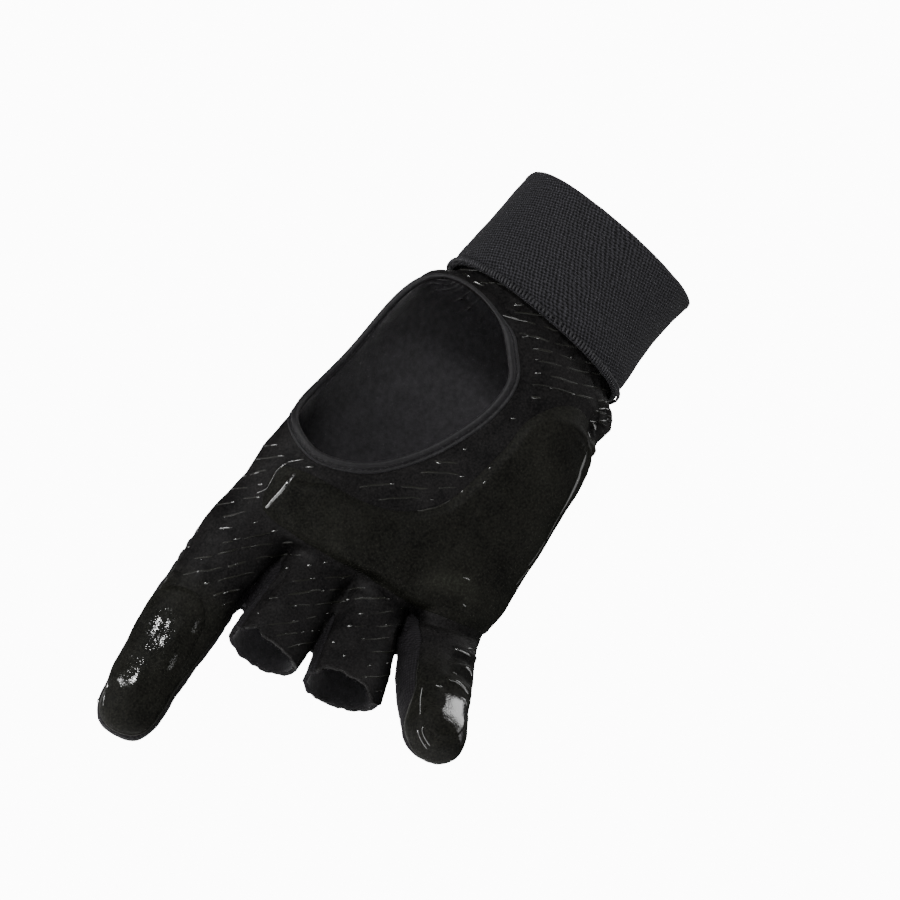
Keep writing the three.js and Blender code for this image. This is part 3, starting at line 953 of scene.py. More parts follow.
SLEEVE_EDGES = {
    "middle": [(226, 634), (235, 626), (258, 625), (263, 635), (278, 643), (295, 662), (298, 675)],
    "ring": [
        (301, 683), (307, 673), (318, 667), (328, 665), (341, 669), (356, 677), (365, 684), (370, 690),
        (374, 704),
    ],
}
opening = np.maximum.reduce(
    [thumb, skin[:, 2] - SKIN_TOP] + [sleeve_ends(name, px) for name, px in SLEEVE_EDGES.items()]
)
pads = np.maximum.reduce(
    [pad_field(part, skin, fc, skin_normals) for part in ("palm", *TIP_PADS)]
)
skin_values = dict(
    at=shaped, way=skin_normals, base=skin, seam=seam, thumb=thumb, pads=pads,
    knuckle=knuckle_height(skin), end=-opening, cloth=cloth_coordinates(skin, fc),
    finger=fc["finger"], place=fc["place"],
)
_, (shell_tris, shell) = cut(skin_tris, opening, skin_values)
(front_tris, front), (back_tris, back) = cut(shell_tris, shell["seam"], shell)
outside = Surface(shaped, skin_tris)


# Materials

def material(name, colour, roughness, coat=(0, 0.2, 1.5), specular=0.5, sheen=0.0):
    """A material with its even values set on the shader; its coat is (weight, roughness, IOR)."""
    mat = bpy.data.materials.new(name)
    mat.use_nodes = True
    inputs = mat.node_tree.nodes["Principled BSDF"].inputs
    inputs["Base Color"].default_value = (*colour, 1)
    inputs["Roughness"].default_value = roughness
    inputs["Specular IOR Level"].default_value = specular
    for socket, value in zip(("Coat Weight", "Coat Roughness", "Coat IOR"), coat):
        inputs[socket].default_value = value
    inputs["Sheen Weight"].default_value = sheen
    inputs["Sheen Roughness"].default_value = 0.4
    return mat


class Nodes:
    """Short forms for the nodes of one material."""

    def __init__(self, mat):
        self.tree = mat.node_tree
        self.shader = self.tree.nodes["Principled BSDF"]
        self.place = self.add("ShaderNodeTexCoord").outputs["Object"]

    def add(self, kind, **settings):
        node = self.tree.nodes.new(kind)
        for key, value in settings.items():
            setattr(node, key, value)
        return node

    def link(self, source, target):
        self.tree.links.new(source, target)

    def noise(self, size_mm, detail):
        node = self.add("ShaderNodeTexNoise")
        node.inputs["Scale"].default_value = 1000 / size_mm
        node.inputs["Detail"].default_value = detail
        self.link(self.place, node.inputs["Vector"])
        return node.outputs[0]

    def attribute(self, name):
        return self.add("ShaderNodeAttribute", attribute_name=name).outputs["Fac"]

    def maths(self, kind, a, b=None):
        node = self.add("ShaderNodeMath", operation=kind)
        for socket, value in zip(node.inputs, (a, b)):
            if isinstance(value, (int, float)):
                socket.default_value = value
            elif value is not None:
                self.link(value, socket)
        return node.outputs[0]

    def blend(self, *parts):
        """The sum of values, each times its share."""
        total = None
        for value, share in parts:
            part = self.maths("MULTIPLY", value, share)
            total = self.maths("ADD", total, part) if total else part
        return total

    def weave(self):
        """Millimetres along and up the cloth."""
        split = self.add("ShaderNodeSeparateXYZ")
        self.link(self.add("ShaderNodeUVMap", uv_map="weave").outputs[0], split.inputs[0])
        return split.outputs[0], split.outputs[1]

    def ramp(self, value, stops, target=None):
        """Colours or greys by value; a grey is given as one number."""
        node = self.add("ShaderNodeValToRGB")
        elements = node.color_ramp.elements
        while len(elements) < len(stops):
            elements.new(0.5)
        for element, (at, colour) in zip(elements, stops):
            element.position = at
            element.color = (*colour, 1) if isinstance(colour, tuple) else (colour, colour, colour, 1)
        self.link(value, node.inputs["Fac"])
        if target:
            self.link(node.outputs[0], self.shader.inputs[target])
        return node.outputs[0]

    def bump(self, heights, coat=False):
        """Bumps laid over each other, each with its height in millimetres, on the coat too if asked."""
        under = None
        for height, distance in heights:
            node = self.add("ShaderNodeBump")
            node.inputs["Distance"].default_value = distance * MM
            self.link(height, node.inputs["Height"])
            if under:
                self.link(under, node.inputs["Normal"])
            under = node.outputs[0]
        self.link(under, self.shader.inputs["Normal"])
        if coat:
            self.link(under, self.shader.inputs["Coat Normal"])


FILM_COAT = (0, 0.14, 2.4)


def film_coat(n):
    """A shiny coat where the film is, broken into specks where it isn't whole."""
    share = n.maths("ADD", n.attribute("film"), n.maths("MULTIPLY", n.noise(0.42, 1), 2.5))
    n.ramp(n.maths("MULTIPLY", share, 0.25), [(0.56, 0.0), (0.6, 1.0)], "Coat Weight")


def grip_material():
    """Coated fabric, a little greener on the fingertips."""
    mat = material("grip_fabric", (0.006, 0.006, 0.006), 0.6, FILM_COAT, specular=0.1)
    n = Nodes(mat)
    tone = n.blend((n.noise(9, 3), 0.35), (n.noise(0.6, 2), 0.65))
    mix = n.add("ShaderNodeMixRGB")
    n.link(n.attribute("tip"), mix.inputs["Fac"])
    plain = n.ramp(tone, [(0.36, (0.0015, 0.0014, 0.0015)), (0.64, (0.0120, 0.0112, 0.0112))])
    green = n.ramp(tone, [(0.36, (0.0018, 0.0018, 0.0013)), (0.64, (0.0135, 0.0135, 0.0106))])
    n.link(plain, mix.inputs["Color1"])
    n.link(green, mix.inputs["Color2"])
    n.link(mix.outputs[0], n.shader.inputs["Base Color"])
    n.ramp(n.noise(1.2, 3), [(0.3, 0.5), (0.7, 0.72)], "Roughness")
    film_coat(n)
    n.bump([(n.noise(0.45, 2), 0.08), (n.noise(4, 2), 0.12)], coat=True)
    return mat


def raised_material(name, *coat):
    """Raised print and welded edges, matt to glossy."""
    mat = material(name, (0.008, 0.008, 0.006), 0.5, coat, specular=0.2)
    n = Nodes(mat)
    n.ramp(n.noise(5, 2), [(0.3, (0.006, 0.006, 0.005)), (0.7, (0.012, 0.012, 0.009))], "Base Color")
    n.bump([(n.noise(0.5, 2), 0.05)], coat=True)
    return mat


def pad_material():
    """Smooth gel pad, with a painted sheen that makes it paler where light falls on its bulge."""
    mat = material("gel_pad", (0.006, 0.006, 0.005), 0.6, FILM_COAT, specular=0.08)
    n = Nodes(mat)
    # The pale attribute lightens the tone: a painted sheen where light falls on the pad's bulge
    tone = n.blend((n.noise(16, 3), 0.4), (n.noise(0.65, 2), 0.6), (n.attribute("pale"), 0.14))
    dark, bright, painted_sheen = (0.0018, 0.0018, 0.0013), (0.0124, 0.0124, 0.0098), (0.026, 0.029, 0.022)
    n.ramp(tone, [(0.36, dark), (0.64, bright), (0.9, painted_sheen)], "Base Color")
    n.ramp(n.noise(1.0, 3), [(0.3, 0.52), (0.7, 0.7)], "Roughness")
    film_coat(n)
    n.bump([(n.noise(0.45, 2), 0.08), (n.noise(6, 2), 0.1)], coat=True)
    return mat


def knit_material():
    """Matt knit: a lattice of small loops, laid out along the cloth."""
    mat = material("knit", (0.01, 0.009, 0.011), 0.8, specular=0.15, sheen=0.03)
    n = Nodes(mat)
    u, v = (n.maths("MULTIPLY", way, TURN / 1.9) for way in n.weave())
    rising = n.maths("SINE", n.maths("ADD", u, v))
    falling = n.maths("SINE", n.maths("SUBTRACT", u, v))
    loops = n.maths("ADD", n.maths("MULTIPLY", n.maths("MULTIPLY", rising, falling), 0.5), 0.5)
    mixed = n.blend((loops, 0.3), (n.noise(0.7, 2), 0.45), (n.noise(6, 4), 0.25))
    n.ramp(mixed, [(0.3, (0.0030, 0.0027, 0.0032)), (0.7, (0.0138, 0.0126, 0.0145))], "Base Color")
    n.ramp(loops, [(0.3, 0.92), (0.7, 0.72)], "Roughness")
    n.bump([(loops, 0.06), (n.noise(0.5, 2), 0.08), (n.noise(3, 2), 0.1)])
    return mat


def lining_material():
    mat = material("lining", (0.02, 0.019, 0.021), 0.95, sheen=0.2)
    n = Nodes(mat)
    n.ramp(n.noise(2, 5), [(0.3, (0.012, 0.0115, 0.013)), (0.7, (0.026, 0.0245, 0.028))], "Base Color")
    n.bump([(n.noise(0.4, 3), 0.15), (n.noise(2.5, 2), 0.12)])
    return mat


def elastic_material():
    """Woven elastic: slanting rows of small floats with dark holes between them."""
    mat = material("elastic", (0.012, 0.0115, 0.014), 0.75, specular=0.2, sheen=0.03)
    n = Nodes(mat)
    u, v = n.weave()
    turn_along, turn_down = TURN / 1.26, TURN / 1.0
    along = n.maths("MULTIPLY", n.maths("ADD", u, n.maths("MULTIPLY", v, 0.5)), turn_along)
    down = n.maths("MULTIPLY", n.maths("SUBTRACT", v, n.maths("MULTIPLY", u, 0.25)), turn_down)
    along = n.maths("ADD", along, n.maths("MULTIPLY", n.noise(1.9, 2), 7))
    down = n.maths("ADD", down, n.maths("MULTIPLY", n.noise(1.4, 2), 7))
    rows = n.maths("ADD", n.maths("SINE", along), n.maths("SINE", down))
    weave = n.maths("ADD", n.maths("MULTIPLY", rows, 0.25), 0.5)
    mixed = n.blend((weave, 0.55), (n.noise(0.6, 3), 0.45))
    n.ramp(mixed, [(0.3, (0.0006, 0.0006, 0.0008)), (0.74, (0.029, 0.028, 0.0330))], "Base Color")
    n.ramp(weave, [(0.2, 0.9), (0.9, 0.6)], "Roughness")
    n.bump([(weave, 0.3), (n.noise(0.3, 2), 0.08)])
    return mat


def thread_material(name, colour, roughness):
    mat = material(name, colour, roughness, specular=0.3, sheen=0.04)
    n = Nodes(mat)
    dark, bright = (tuple(c * share for c in colour) for share in (0.6, 1.4))
    n.ramp(n.noise(1.5, 3), [(0.3, dark), (0.7, bright)], "Base Color")
    n.bump([(n.noise(0.3, 2), 0.08)])
    return mat


GRIP, PAD, KNIT, LINING = grip_material(), pad_material(), knit_material(), lining_material()
RIDGES = raised_material("grip_ridges", 0.35, 0.2, 1.5)
WELD = raised_material("weld_film", 1.0, 0.15, 2.4)
LIP = raised_material("seam_lip", 0.3, 0.3, 1.5)
ELASTIC = elastic_material()
BINDING = thread_material("binding", (0.0062, 0.0057, 0.0068), 0.6)
THREAD = thread_material("thread", (0.006, 0.006, 0.007), 0.55)
OVERLOCK = thread_material("overlock", (0.017, 0.0165, 0.019), 0.55)


def finish_piece(obj, mats, nodes=()):
    """Materials of a piece, its body and the solids that it stands for."""
    obj.data.materials.clear()
    for mat in mats:
        obj.data.materials.append(mat)
    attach(obj, "root")
    if nodes:
        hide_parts(*nodes)
    return obj


# Panels

def panel(name, tris, values, mats, nodes):
    """A side of the glove as a wall of cloth, its outside in the first material."""
    obj = mesh_object(name, values["at"], tris.tolist())
    corners = np.empty(len(obj.data.loops), int)
    obj.data.loops.foreach_get("vertex_index", corners)
    obj.data.uv_layers.new(name="weave").data.foreach_set("uv", values["cloth"][corners].ravel())
    paint_film(obj)
    place = values["place"]
    index, little = (values["finger"] == NUMBER_OF[name] for name in ("index", "pinky"))
    paint(obj, "tip", index * smoothstep(place, 1.9, 2.4) + little * smoothstep(place, 1.6, 2.4))
    solid = obj.modifiers.new("wall", "SOLIDIFY")
    solid.thickness = WALL * MM
    solid.offset = -1
    solid.material_offset = 1
    solid.material_offset_rim = 0
    return finish_piece(obj, mats, nodes)


palm_skin = panel(
    "palm_skin", front_tris, front, [GRIP, LINING],
    ["palm_panel"] + [f"{name}_front" for name in FINGERS],
)
back_skin = panel(
    "back_skin", back_tris, back, [KNIT, LINING],
    ["back_panel"] + [f"{name}_back" for name in FINGERS],
)


# Pads

def pad(name, part, height, edges, node, flange=0.0, uneven=0.14):
    """A raised pad over the part of the skin inside its outline; edges are how wide its rounded edge
    is at the wrist side and at the fingertip side."""
    field = pad_field(part, skin, fc, skin_normals)
    tris, values = cut(skin_tris, field, dict(base=skin, way=skin_normals, at=shaped))[0]
    tris, values = subdivided(tris, values)
    base, way = values["base"], unit_rows(values["way"])
    depth = np.clip(pad_field(part, base, finger_coordinates(base), way), 0, None)
    rim = flange * smoothstep(-base[:, 0], 20, 28)
    top = base[:, 2].max()
    edge = edges[0] + (edges[1] - edges[0]) * smoothstep(top - base[:, 2], 4, 11)
    share = np.clip((depth - rim) / edge, 0, 1)
    rise = height * np.sin(share * math.pi / 2) + 0.08
    rise += smoothstep(depth, 2, 6) * uneven * (waves(base, 12, 41) + 0.4 * waves(base, 5, 42))
    at = smoothed(values["at"], neighbours(tris), 12, 0.5 * smoothstep(depth, 0.4, 2))
    obj = slab(name, tris, at + way * rise[:, None], at - way * 0.5)
    paint_film(obj)
    finish_piece(obj, [PAD], [node])
    return obj


palm_gel = pad("palm_gel", "palm", PAD_HEIGHT, (7, 3.4), "palm_pad", flange=2.8)
pad("index_gel", "index", TIP_PAD_HEIGHT, (1.6, 8), "index_pad", uneven=0.3)
pad("little_gel", "pinky", TIP_PAD_HEIGHT, (1.1, 1.1), "pinky_pad")


# Raised lines

def strip_mesh(name, strips, mat):
    """Low rounded ridges: each of strips is (points, directions out, width, height)."""
    points, faces = [], []
    section = [(-1, -0.35), (-0.62, 0.55), (0, 1), (0.62, 0.55), (1, -0.35)]
    for run, ways, width, height in strips:
        steps = len(run)
        if steps < 3:
            continue
        side = unit_rows(np.cross(np.gradient(run, axis=0), ways))
        ends = np.linspace(0, 1, steps)
        taper = np.sqrt(np.clip(1 - abs(2 * ends - 1) ** 3, 0, 1))[:, None]
        half = width / 2 * (0.35 + 0.65 * taper)
        rows = [run + side * (w * half) + ways * (h * height * taper) for w, h in section]
        faces += grid_faces(steps, len(section), tube=False, first=len(section) * sum(map(len, points)))
        points.append(np.stack(rows, 1))
    points = np.concatenate(points).reshape(-1, 3)
    return finish_piece(mesh_object(name, points, faces), [mat])


def surface_runs(tris, field, values, mask):
    """Runs along field = 0 where mask, a number per point, is above 0."""
    crossed, ab, ac, _ = contour(tris, field, values | {"mask": mask})
    table = np.concatenate([crossed["at"], crossed["way"], crossed["mask"][:, None]], 1)
    for run, closed in chains(ab, ac):
        if len(run) < 4:
            continue
        rows = table[run + run[:1]] if closed else table[run]
        yield relaxed(resampled(rows, 0.5), 3)


RIDGE_PITCH = 3.6
RIDGE_ROWS = range(-62, 30)
RIDGE_DROOP = 0.002  # how much the rows bend down to both sides of their middle
RIDGE_MIDDLE = -64


def grip_ridges():
    """The grip's raised lines, about level in the photograph: long dull pieces, and short shiny ones."""
    rng = np.random.default_rng(7)
    at = front["base"]
    across = at @ np.array(RIGHT)
    level = at @ np.array(UP) + RIDGE_DROOP * (across - RIDGE_MIDDLE) ** 2
    smooth_tip = (front["finger"] == NUMBER_OF["index"]) & (front["place"] > 2.3)
    smooth_tip |= (front["finger"] == NUMBER_OF["pinky"]) & (front["place"] > 1.2)
    clear = np.minimum.reduce(
        [-front["pads"] - 0.8, -front["thumb"] - 3.4, front["seam"] - 0.7, front["end"] - 0.5]
    )
    clear = np.where(smooth_tip, -1, clear)
    dull, shiny, left_out = [], [], []
    thinning = np.random.default_rng(8)

    def add(kept, rows, start, length, width, height):
        """Keeps a piece that is clear of the pads and seams and doesn't turn back on itself."""
        piece = rows[start : start + length]
        if len(piece) < 3 or piece[:, 6].min() < 0:
            return
        run = piece[:, :3] + np.array(UP) * rng.uniform(-0.3, 0.3)
        if unit(run[2] - run[0]) @ unit(run[-1] - run[-3]) > 0.5:
            kept.append((run, piece[:, 3:6], width, height))

    for k in RIDGE_ROWS:
        phase, other = rng.uniform(0, 6.3, 2)
        wave = 0.3 * np.sin(across * TURN / 21 + phase)
        wave += 0.1 * np.sin(across * TURN / 6.1 + other)
        field = level + wave - k * RIDGE_PITCH - rng.uniform(-0.3, 0.3)
        if field.max() < 0 or field.min() > 0:
            continue
        for rows in surface_runs(front_tris, field, front, clear):
            start = rng.integers(0, 6)
            while start < len(rows) - 5:
                length = rng.integers(7, 30)
                add(dull, rows, start, length, rng.uniform(0.5, 0.8), rng.uniform(0.15, 0.32))
                start += length + rng.integers(1, 6)
            start = rng.integers(0, 20)
            while start < len(rows) - 3:
                thumb_side = rows[start, 0] < -18 or rows[start, 2] > -70
                length = rng.integers(5, 10) if thumb_side and rng.random() < 0.5 else rng.integers(3, 5)
                kept = left_out if rows[start, 2] > -120 and thinning.random() < 0.45 else shiny
                add(kept, rows, start, length, rng.uniform(0.4, 0.65), rng.uniform(0.2, 0.35))
                start += length + rng.integers(4, 30)
    return dull, shiny


dull_ridges, shiny_ridges = grip_ridges()
strip_mesh("grip_ridges", dull_ridges, RIDGES)


def seam_lips():
    """Raised seam edges round the two closed fingertips."""
    strips = []
    closed_finger = np.isin(shell["finger"], [NUMBER_OF["index"], NUMBER_OF["pinky"]])
    mask = np.where(closed_finger, shell["knuckle"] - 8, -1)
    for rows in surface_runs(shell_tris, shell["seam"], shell, mask):
        rows = rows[rows[:, 6] > 0]
        if len(rows) > 12:
            rows = relaxed(rows, 12)
            strips.append((rows[:, :3], rows[:, 3:6], 0.8, 0.5))
    return strips


# Welded edges and glossy folds drawn over the photograph; rounds say how often a line is smoothed
LINES = named_rows(
    "height width path",
    # Edge outside the thumb-side end of the palm pad
    (0.4, 0.6, [(288, 462), (277, 470), (272, 480), (267, 489), (257, 493)]),
    (0.3, 0.5, [(304, 459), (294, 461), (288, 462)]),
    # Double lip beside the little finger's pad
    (0.35, 0.45, [(422, 687), (420, 700), (420, 714)]),
    (0.45, 0.6, [(417, 729), (421, 739), (427, 749)]),
    (0.4, 0.6, [(423, 725), (422, 731), (425, 738), (430, 746)]),
    (0.2, 0.4, [(425, 716), (431, 711), (439, 709)]),
    # Folds of the little finger
    (0.4, 0.7, [(455, 649), (461, 651), (471, 656)]),
    (0.4, 0.6, [(468, 648), (473, 650), (476, 653)]),
    (0.4, 0.8, [(466, 667), (470, 670), (472, 676)]),
    (0.45, 1.0, [(450, 680), (457, 681), (464, 688), (469, 694)]),
    (0.4, 0.7, [(436, 685), (439, 687), (443, 687)]),
    (0.3, 0.6, [(453, 672), (457, 675)]),
    (0.4, 0.7, [(460, 697), (466, 702), (467, 706)]),
    # Fold at the tip of the index finger
    (0.4, 0.6, [(109, 667), (105, 676), (100, 690), (98, 704)]),
    (0.35, 0.5, [(112, 674), (106, 690), (103, 706)]),
    # Creases of the strip between the thumb opening and the wrist
    (0.35, 0.7, [(450, 267), (453, 269), (457, 270)]),
    (0.35, 0.6, [(462, 273), (466, 275), (470, 277)]),
    (0.35, 0.7, [(473, 281), (479, 284), (485, 286)]),
    (0.3, 0.5, [(514, 305), (519, 305), (524, 305)]),
    (0.3, 0.5, [(503, 315), (515, 319), (529, 322)]),
    (0.3, 0.5, [(522, 337), (529, 336)]),
    # Bunched fabric at the ulnar edge, below the wrist band
    (0.5, 1.2, [(593, 423), (595, 426), (596, 430)]),
    (0.35, 0.5, [(599, 409), (605, 408), (612, 411)]),
    (0.35, 0.5, [(599, 421), (604, 420), (608, 419)]),
    (0.3, 0.5, [(588, 432), (590, 438), (589, 446)]),
)
PAD_LINES = named_rows(
    "height width path rounds",
    # Thumb-side end of the palm pad
    (0.4, 1.3, [(295, 473), (290, 479), (281, 491), (273, 499), (269, 505), (266, 508)]),
    (0.25, 0.6, [(299, 467), (304, 468), (308, 469)]),
    # Its ulnar edge
    (0.3, 2.1, [(587, 452), (583, 466), (579, 478), (574, 490), (568, 503), (560, 516)], 160),
    (0.25, 0.5, [(560, 515), (553, 526), (547, 539)], 60),
    (0.25, 0.5, [(545, 541), (538, 553), (528, 566)], 60),
    (0.25, 0.5, [(529, 568), (522, 577), (516, 585)], 60),
    # Specks on its face and its top edge
    (0.2, 0.5, [(463, 577), (466, 578), (470, 580)]),
    (0.2, 0.5, [(463, 604), (466, 607)]),
    (0.2, 0.5, [(461, 492), (464, 490)]),
    (0.2, 0.5, [(483, 483), (486, 481)]),
    (0.2, 0.5, [(489, 469), (491, 466)]),
)
PAD_EDGE = named_rows(
    "height width path",
    # Dull upper edge of the palm pad
    (0.22, 0.6, [(368, 501), (380, 505), (396, 509), (420, 511), (438, 507), (449, 501), (455, 496)]),
)


def drawn_lines(surface, lines):
    strips = []
    for line in lines:
        run = surface.at_pixels(line["path"], 0.5)
        if len(run) > 3:
            run, ways = surface.settled(relaxed(run, line.get("rounds", 3)))
            strips.append((run, ways, line["width"], line["height"]))
    return strips


strip_mesh("seam_lips", seam_lips(), LIP)
strip_mesh("glossy_folds", shiny_ridges + drawn_lines(outside, LINES), WELD)
pad_top = Surface(*triangles_of(palm_gel.data))
strip_mesh("pad_weld", drawn_lines(pad_top, PAD_LINES), WELD)
strip_mesh("pad_edge", drawn_lines(pad_top, PAD_EDGE), LIP)


# Thumb binding

def fair_directions(run, ways):
    """Along a closed run, its sides and its ways out, without small turns."""
    ways = unit_rows(relaxed(ways, 30, True))
    along = unit_rows(np.roll(run, -1, 0) - np.roll(run, 1, 0))
    return along, unit_rows(np.cross(along, ways)), ways


# The binding's section: outward from the edge and up from the cloth
BINDING_SECTION = np.array([
    (3.4, -0.25), (3.3, 0.28), (2.95, 0.5), (2.55, 0.45), (2.3, 0.2), (2.05, 0.1), (1.8, 0.22),
    (1.45, 0.65), (0.95, 1.0), (0.35, 1.12), (-0.3, 0.95), (-0.75, 0.5), (-0.9, -0.1), (-0.8, -0.7),
    (-0.4, -1.25), (0.4, -1.6), (1.6, -1.75), (2.4, -1.7), (2.6, -1.25),
])
TURNED_IN_PX = (468, 300)  # where the binding turns inwards and looks slim
STITCH_ROW = (2.05, 0.1)
STITCH = (1.5, 0.36, 0.2)  # length, width, height
STITCH_EVERY = 3  # points of the edge

edge_run = resampled(relaxed(thumb_edge(), 4, True), 0.7, True)
edge_run, edge_ways = outside.settled(edge_run)
edge_run = relaxed(edge_run, 6, True)
edge_along, edge_side, edge_ways = fair_directions(edge_run, edge_ways)
if ((edge_run - edge_run.mean(0)) * edge_side).sum() < 0:
    edge_side = -edge_side
turned_in = np.hypot(*(to_pixels(edge_run) - TURNED_IN_PX).T)
slim = (0.8 - 0.5 * (1 - smoothstep(turned_in, 30, 58)))[:, None]
outward, upward = BINDING_SECTION[None, :, :1], BINDING_SECTION[None, :, 1:]
hem_side, hem_way = (edge_side * slim)[:, None], (edge_ways * slim)[:, None]
hem_points = edge_run[:, None] + hem_side * outward + hem_way * upward
hem_faces = grid_faces(len(edge_run), len(BINDING_SECTION), closed=True)
hem = mesh_object("thumb_hem", hem_points.reshape(-1, 3), hem_faces)
finish_piece(hem, [BINDING], ["thumb_binding"])


def thread_mesh(name, threads, mat):
    """Short rounded threads: each of threads is (centre, along, up, length, width, height)."""
    sides = 6
    points, faces = [], []
    ring = np.stack([np.cos(ring_angles(sides)), np.sin(ring_angles(sides))], 1)
    profile = [(-1, 0.0), (-0.86, 0.6), (-0.4, 1), (0.4, 1), (0.86, 0.6), (1, 0.0)]
    for centre, along, up, length, width, height in threads:
        side = unit(np.cross(along, up))
        faces += grid_faces(len(profile), sides, flipped=True, first=sides * len(points))
        for at, size in profile:
            middle = centre + along * at * length / 2 + up * height * 0.8 * (1 - abs(at) ** 2)
            across, rise = side * width / 2 * size, up * height / 2 * size
            points.append(middle + ring[:, :1] * across + ring[:, 1:] * rise)
    return finish_piece(mesh_object(name, np.concatenate(points), faces), [mat])


stitches = []
for i in range(0, len(edge_run) - 1, STITCH_EVERY):
    if slim[i] > 0.6:
        middle = edge_run[i] + edge_side[i] * STITCH_ROW[0] * slim[i] + edge_ways[i] * STITCH_ROW[1]
        stitches.append((middle, edge_along[i], edge_ways[i], *STITCH))
thread_mesh("hem_stitches", stitches, THREAD)


# Wrist band

# Heights and insets of the upper rim and of the lower one
UPPER_RIM = [(-0.7, 1.75), (-0.15, 1.15), (-0.15, 0.7), (-0.6, 0.2), (-1.6, 0.0)]
LOWER_RIM = [(-39.6, 0.4), (-39.9, 1.0), (-39.8, 1.8)]
# Its section at the upper rim, and what is added by the lower one
BAND_TOP = dict(radial=-31.2, ulnar=32.6, palm=-21, back=22)
BAND_FLARE = dict(radial=-1.6, ulnar=0, palm=-1.8, back=0.6)
BAND_WAIST = 1.6
BAND_SIDES = 168
BAND_GIRTH = 198.0
LOOPS = 172
LOOP_HEIGHT = -38.9


def band_ring(z, inward, dip, sides):
    """A ring of the band, which is drawn in at its middle on the little-finger side."""
    down = -z / BAND_LENGTH
    row = {side: BAND_TOP[side] + BAND_FLARE[side] * down for side in BAND_TOP}
    row["ulnar"] -= BAND_WAIST * math.sin(math.pi * min(max(down, 0), 1))
    row |= dict(z=z, tilt=0, hollow=0, arch=0)
    angles = ring_angles(sides)
    ring = body_points(row, angles, inward)
    ring[:, 2] -= dip * np.clip(np.sin(angles), 0, None)
    return ring


def band_rows():
    """Height, inset and dip of each ring: up the inside, round the upper rim, down the outside and
    round the lower rim."""
    inside, outside = np.linspace(-39.2, -1.6, 12), np.linspace(-2.4, -38.9, 70)
    rows = [(z, BAND_WALL, BAND_DIP * smoothstep(z, -30, -1)) for z in inside]
    rows += [(z, inward, BAND_DIP) for z, inward in UPPER_RIM]
    rows += [(z, 0.12 + 0.35 * bell(z + 37, 2.2), BAND_DIP * smoothstep(z, -30, -1)) for z in outside]
    return rows + [(z, inward, 0) for z, inward in LOWER_RIM]


def band_mesh():
    rows = band_rows()
    rings = np.array([band_ring(*row, BAND_SIDES) for row in rows])
    flat = rings.reshape(-1, 3)
    outer = np.array([inward < 1.2 for _, inward, _ in rows]).repeat(BAND_SIDES)
    out_way = unit_rows(flat * [1, 1, 0])
    bulge = 0.22 * waves(flat, 26, 51) + 0.1 * waves(flat, 9, 52)
    flat = flat + out_way * (bulge * (0.35 + 0.65 * outer))[:, None]
    obj = mesh_object("wrist_elastic", flat, grid_faces(len(rows), BAND_SIDES, closed=True))
    mesh = obj.data
    uv = mesh.uv_layers.new(name="weave")
    down = run_lengths(rings[:, 0])
    for polygon in mesh.polygons:
        corners = [mesh.loops[i].vertex_index for i in polygon.loop_indices]
        wraps = {c % BAND_SIDES for c in corners} == {0, BAND_SIDES - 1}
        for loop, corner in zip(polygon.loop_indices, corners):
            column = corner % BAND_SIDES
            column = BAND_SIDES if wraps and column == 0 else column
            uv.data[loop].uv = (column / BAND_SIDES * BAND_GIRTH, down[corner // BAND_SIDES])
    return finish_piece(obj, [ELASTIC], ["wrist_band"])


band = band_mesh()


def band_loops():
    """Overlocked loops along the band's lower edge."""
    ring = band_ring(LOOP_HEIGHT, 0.0, 0, LOOPS)
    along = np.roll(ring, -1, 0) - np.roll(ring, 1, 0)
    threads = []
    rng = np.random.default_rng(5)
    for place, way in zip(ring, along):
        out_way = unit(np.cross(way, [0, 0, 1]))
        out_way = out_way if out_way @ place > 0 else -out_way
        slant = unit(np.array([0, 0, 1]) + 0.28 * unit(way) + rng.normal(0, 0.05, 3))
        threads.append((place - out_way * 0.05, slant, out_way, rng.uniform(1.9, 2.4), 0.8, 0.6))
    return threads


thread_mesh("band_overlock", band_loops(), OVERLOCK)


# Floor, backdrop and light

FLOOR_Z = -900
HALF = 4000
WHITE = (1, 1, 1, 1)
LIGHT_ON_GLOVE = 0.02  # the backdrop's strength as a light
LIGHT_SEEN = 12.0  # and as the camera sees it


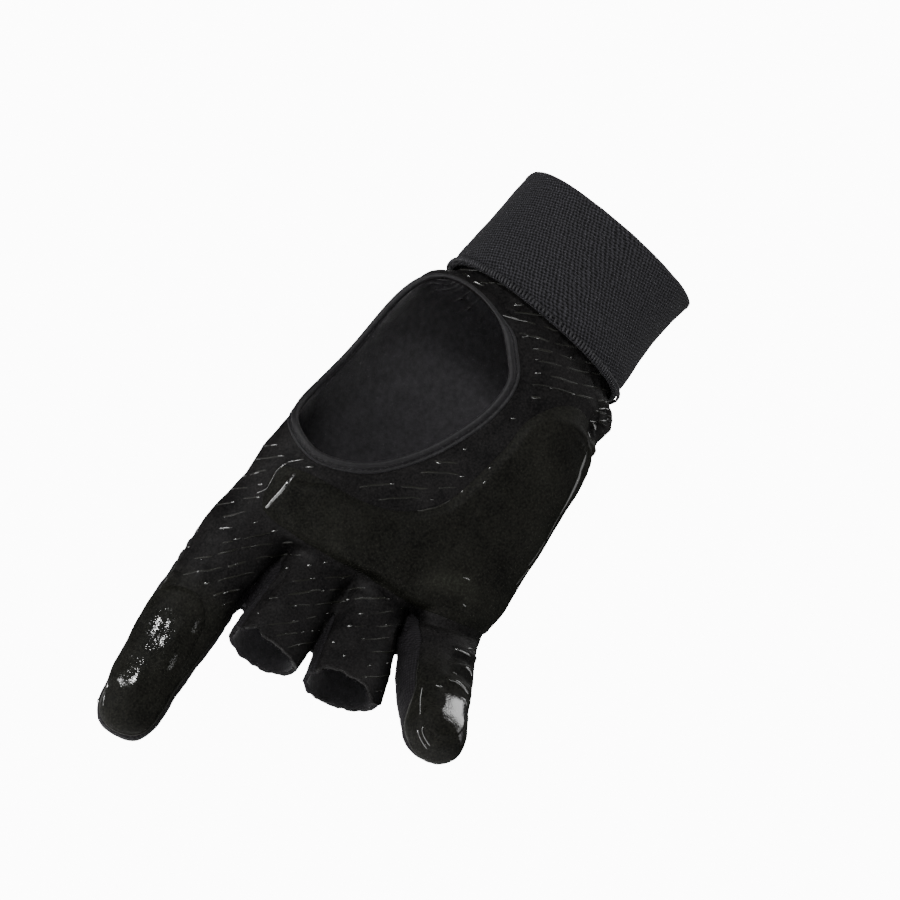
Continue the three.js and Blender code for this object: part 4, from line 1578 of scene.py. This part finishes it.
def quad(name, corners, mat):
    obj = mesh_object(name, corners, [(0, 1, 2, 3)])
    obj.data.materials.append(mat)
    obj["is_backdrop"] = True
    return obj


corners = [(x * HALF, y * HALF, FLOOR_Z) for x, y in ((-1, -1), (1, -1), (1, 1), (-1, 1))]
floor = quad("floor", corners, material("floor", (0.9, 0.9, 0.9), 0.9))

world = bpy.data.worlds.new("studio")
bpy.context.scene.world = world
world.use_nodes = True
nodes, links = world.node_tree.nodes, world.node_tree.links
nodes.clear()
mix = nodes.new("ShaderNodeMixShader")
for socket, strength in ((1, LIGHT_ON_GLOVE), (2, LIGHT_SEEN)):
    sky = nodes.new("ShaderNodeBackground")
    sky.inputs["Color"].default_value = WHITE
    sky.inputs["Strength"].default_value = strength
    links.new(sky.outputs[0], mix.inputs[socket])
path = nodes.new("ShaderNodeLightPath")
links.new(path.outputs["Is Camera Ray"], mix.inputs[0])
links.new(mix.outputs[0], nodes.new("ShaderNodeOutputWorld").inputs["Surface"])

AIM = Vector((0, -5, -110))


def softbox(name, right, up, towards, size, power):
    """A rectangular light, placed along the camera's own directions from the glove's middle."""
    data = bpy.data.lights.new(name, "AREA")
    data.shape = "RECTANGLE"
    data.size, data.size_y = size[0] * MM, size[1] * MM
    data.energy = power
    place = AIM + right * RIGHT + up * UP + towards * BACK
    placed(name, data, place, (place - AIM).to_track_quat("Z", "Y"))


softbox("key", -120, 640, 700, (330, 180), 6.0)
softbox("left", -600, 350, 420, (260, 260), 2.0)
softbox("fill", -150, 750, 850, (500, 500), 1.0)
softbox("rim", 650, -170, 150, (600, 700), 0.9)
softbox("corner", 505, 365, -205, (620, 520), 3.2)
softbox("back", 300, 500, -900, (500, 500), 3)

# The floor's own light keeps it pale without washing out the black glove
floor_light = bpy.data.lights.new("floor_light", "SUN")
floor_light.energy = 4.0
floor_light.angle = 0.6
sun = placed("floor_light", floor_light)
lit_things = bpy.data.collections.new("lit_by_floor_light")
lit_things.objects.link(floor)
sun.light_linking.receiver_collection = lit_things

boxes = {
    key: [[float(v) for v in corner] for corner in pair]
    for key, pair in (("cad", CAD_BOX), ("visual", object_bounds()))
}
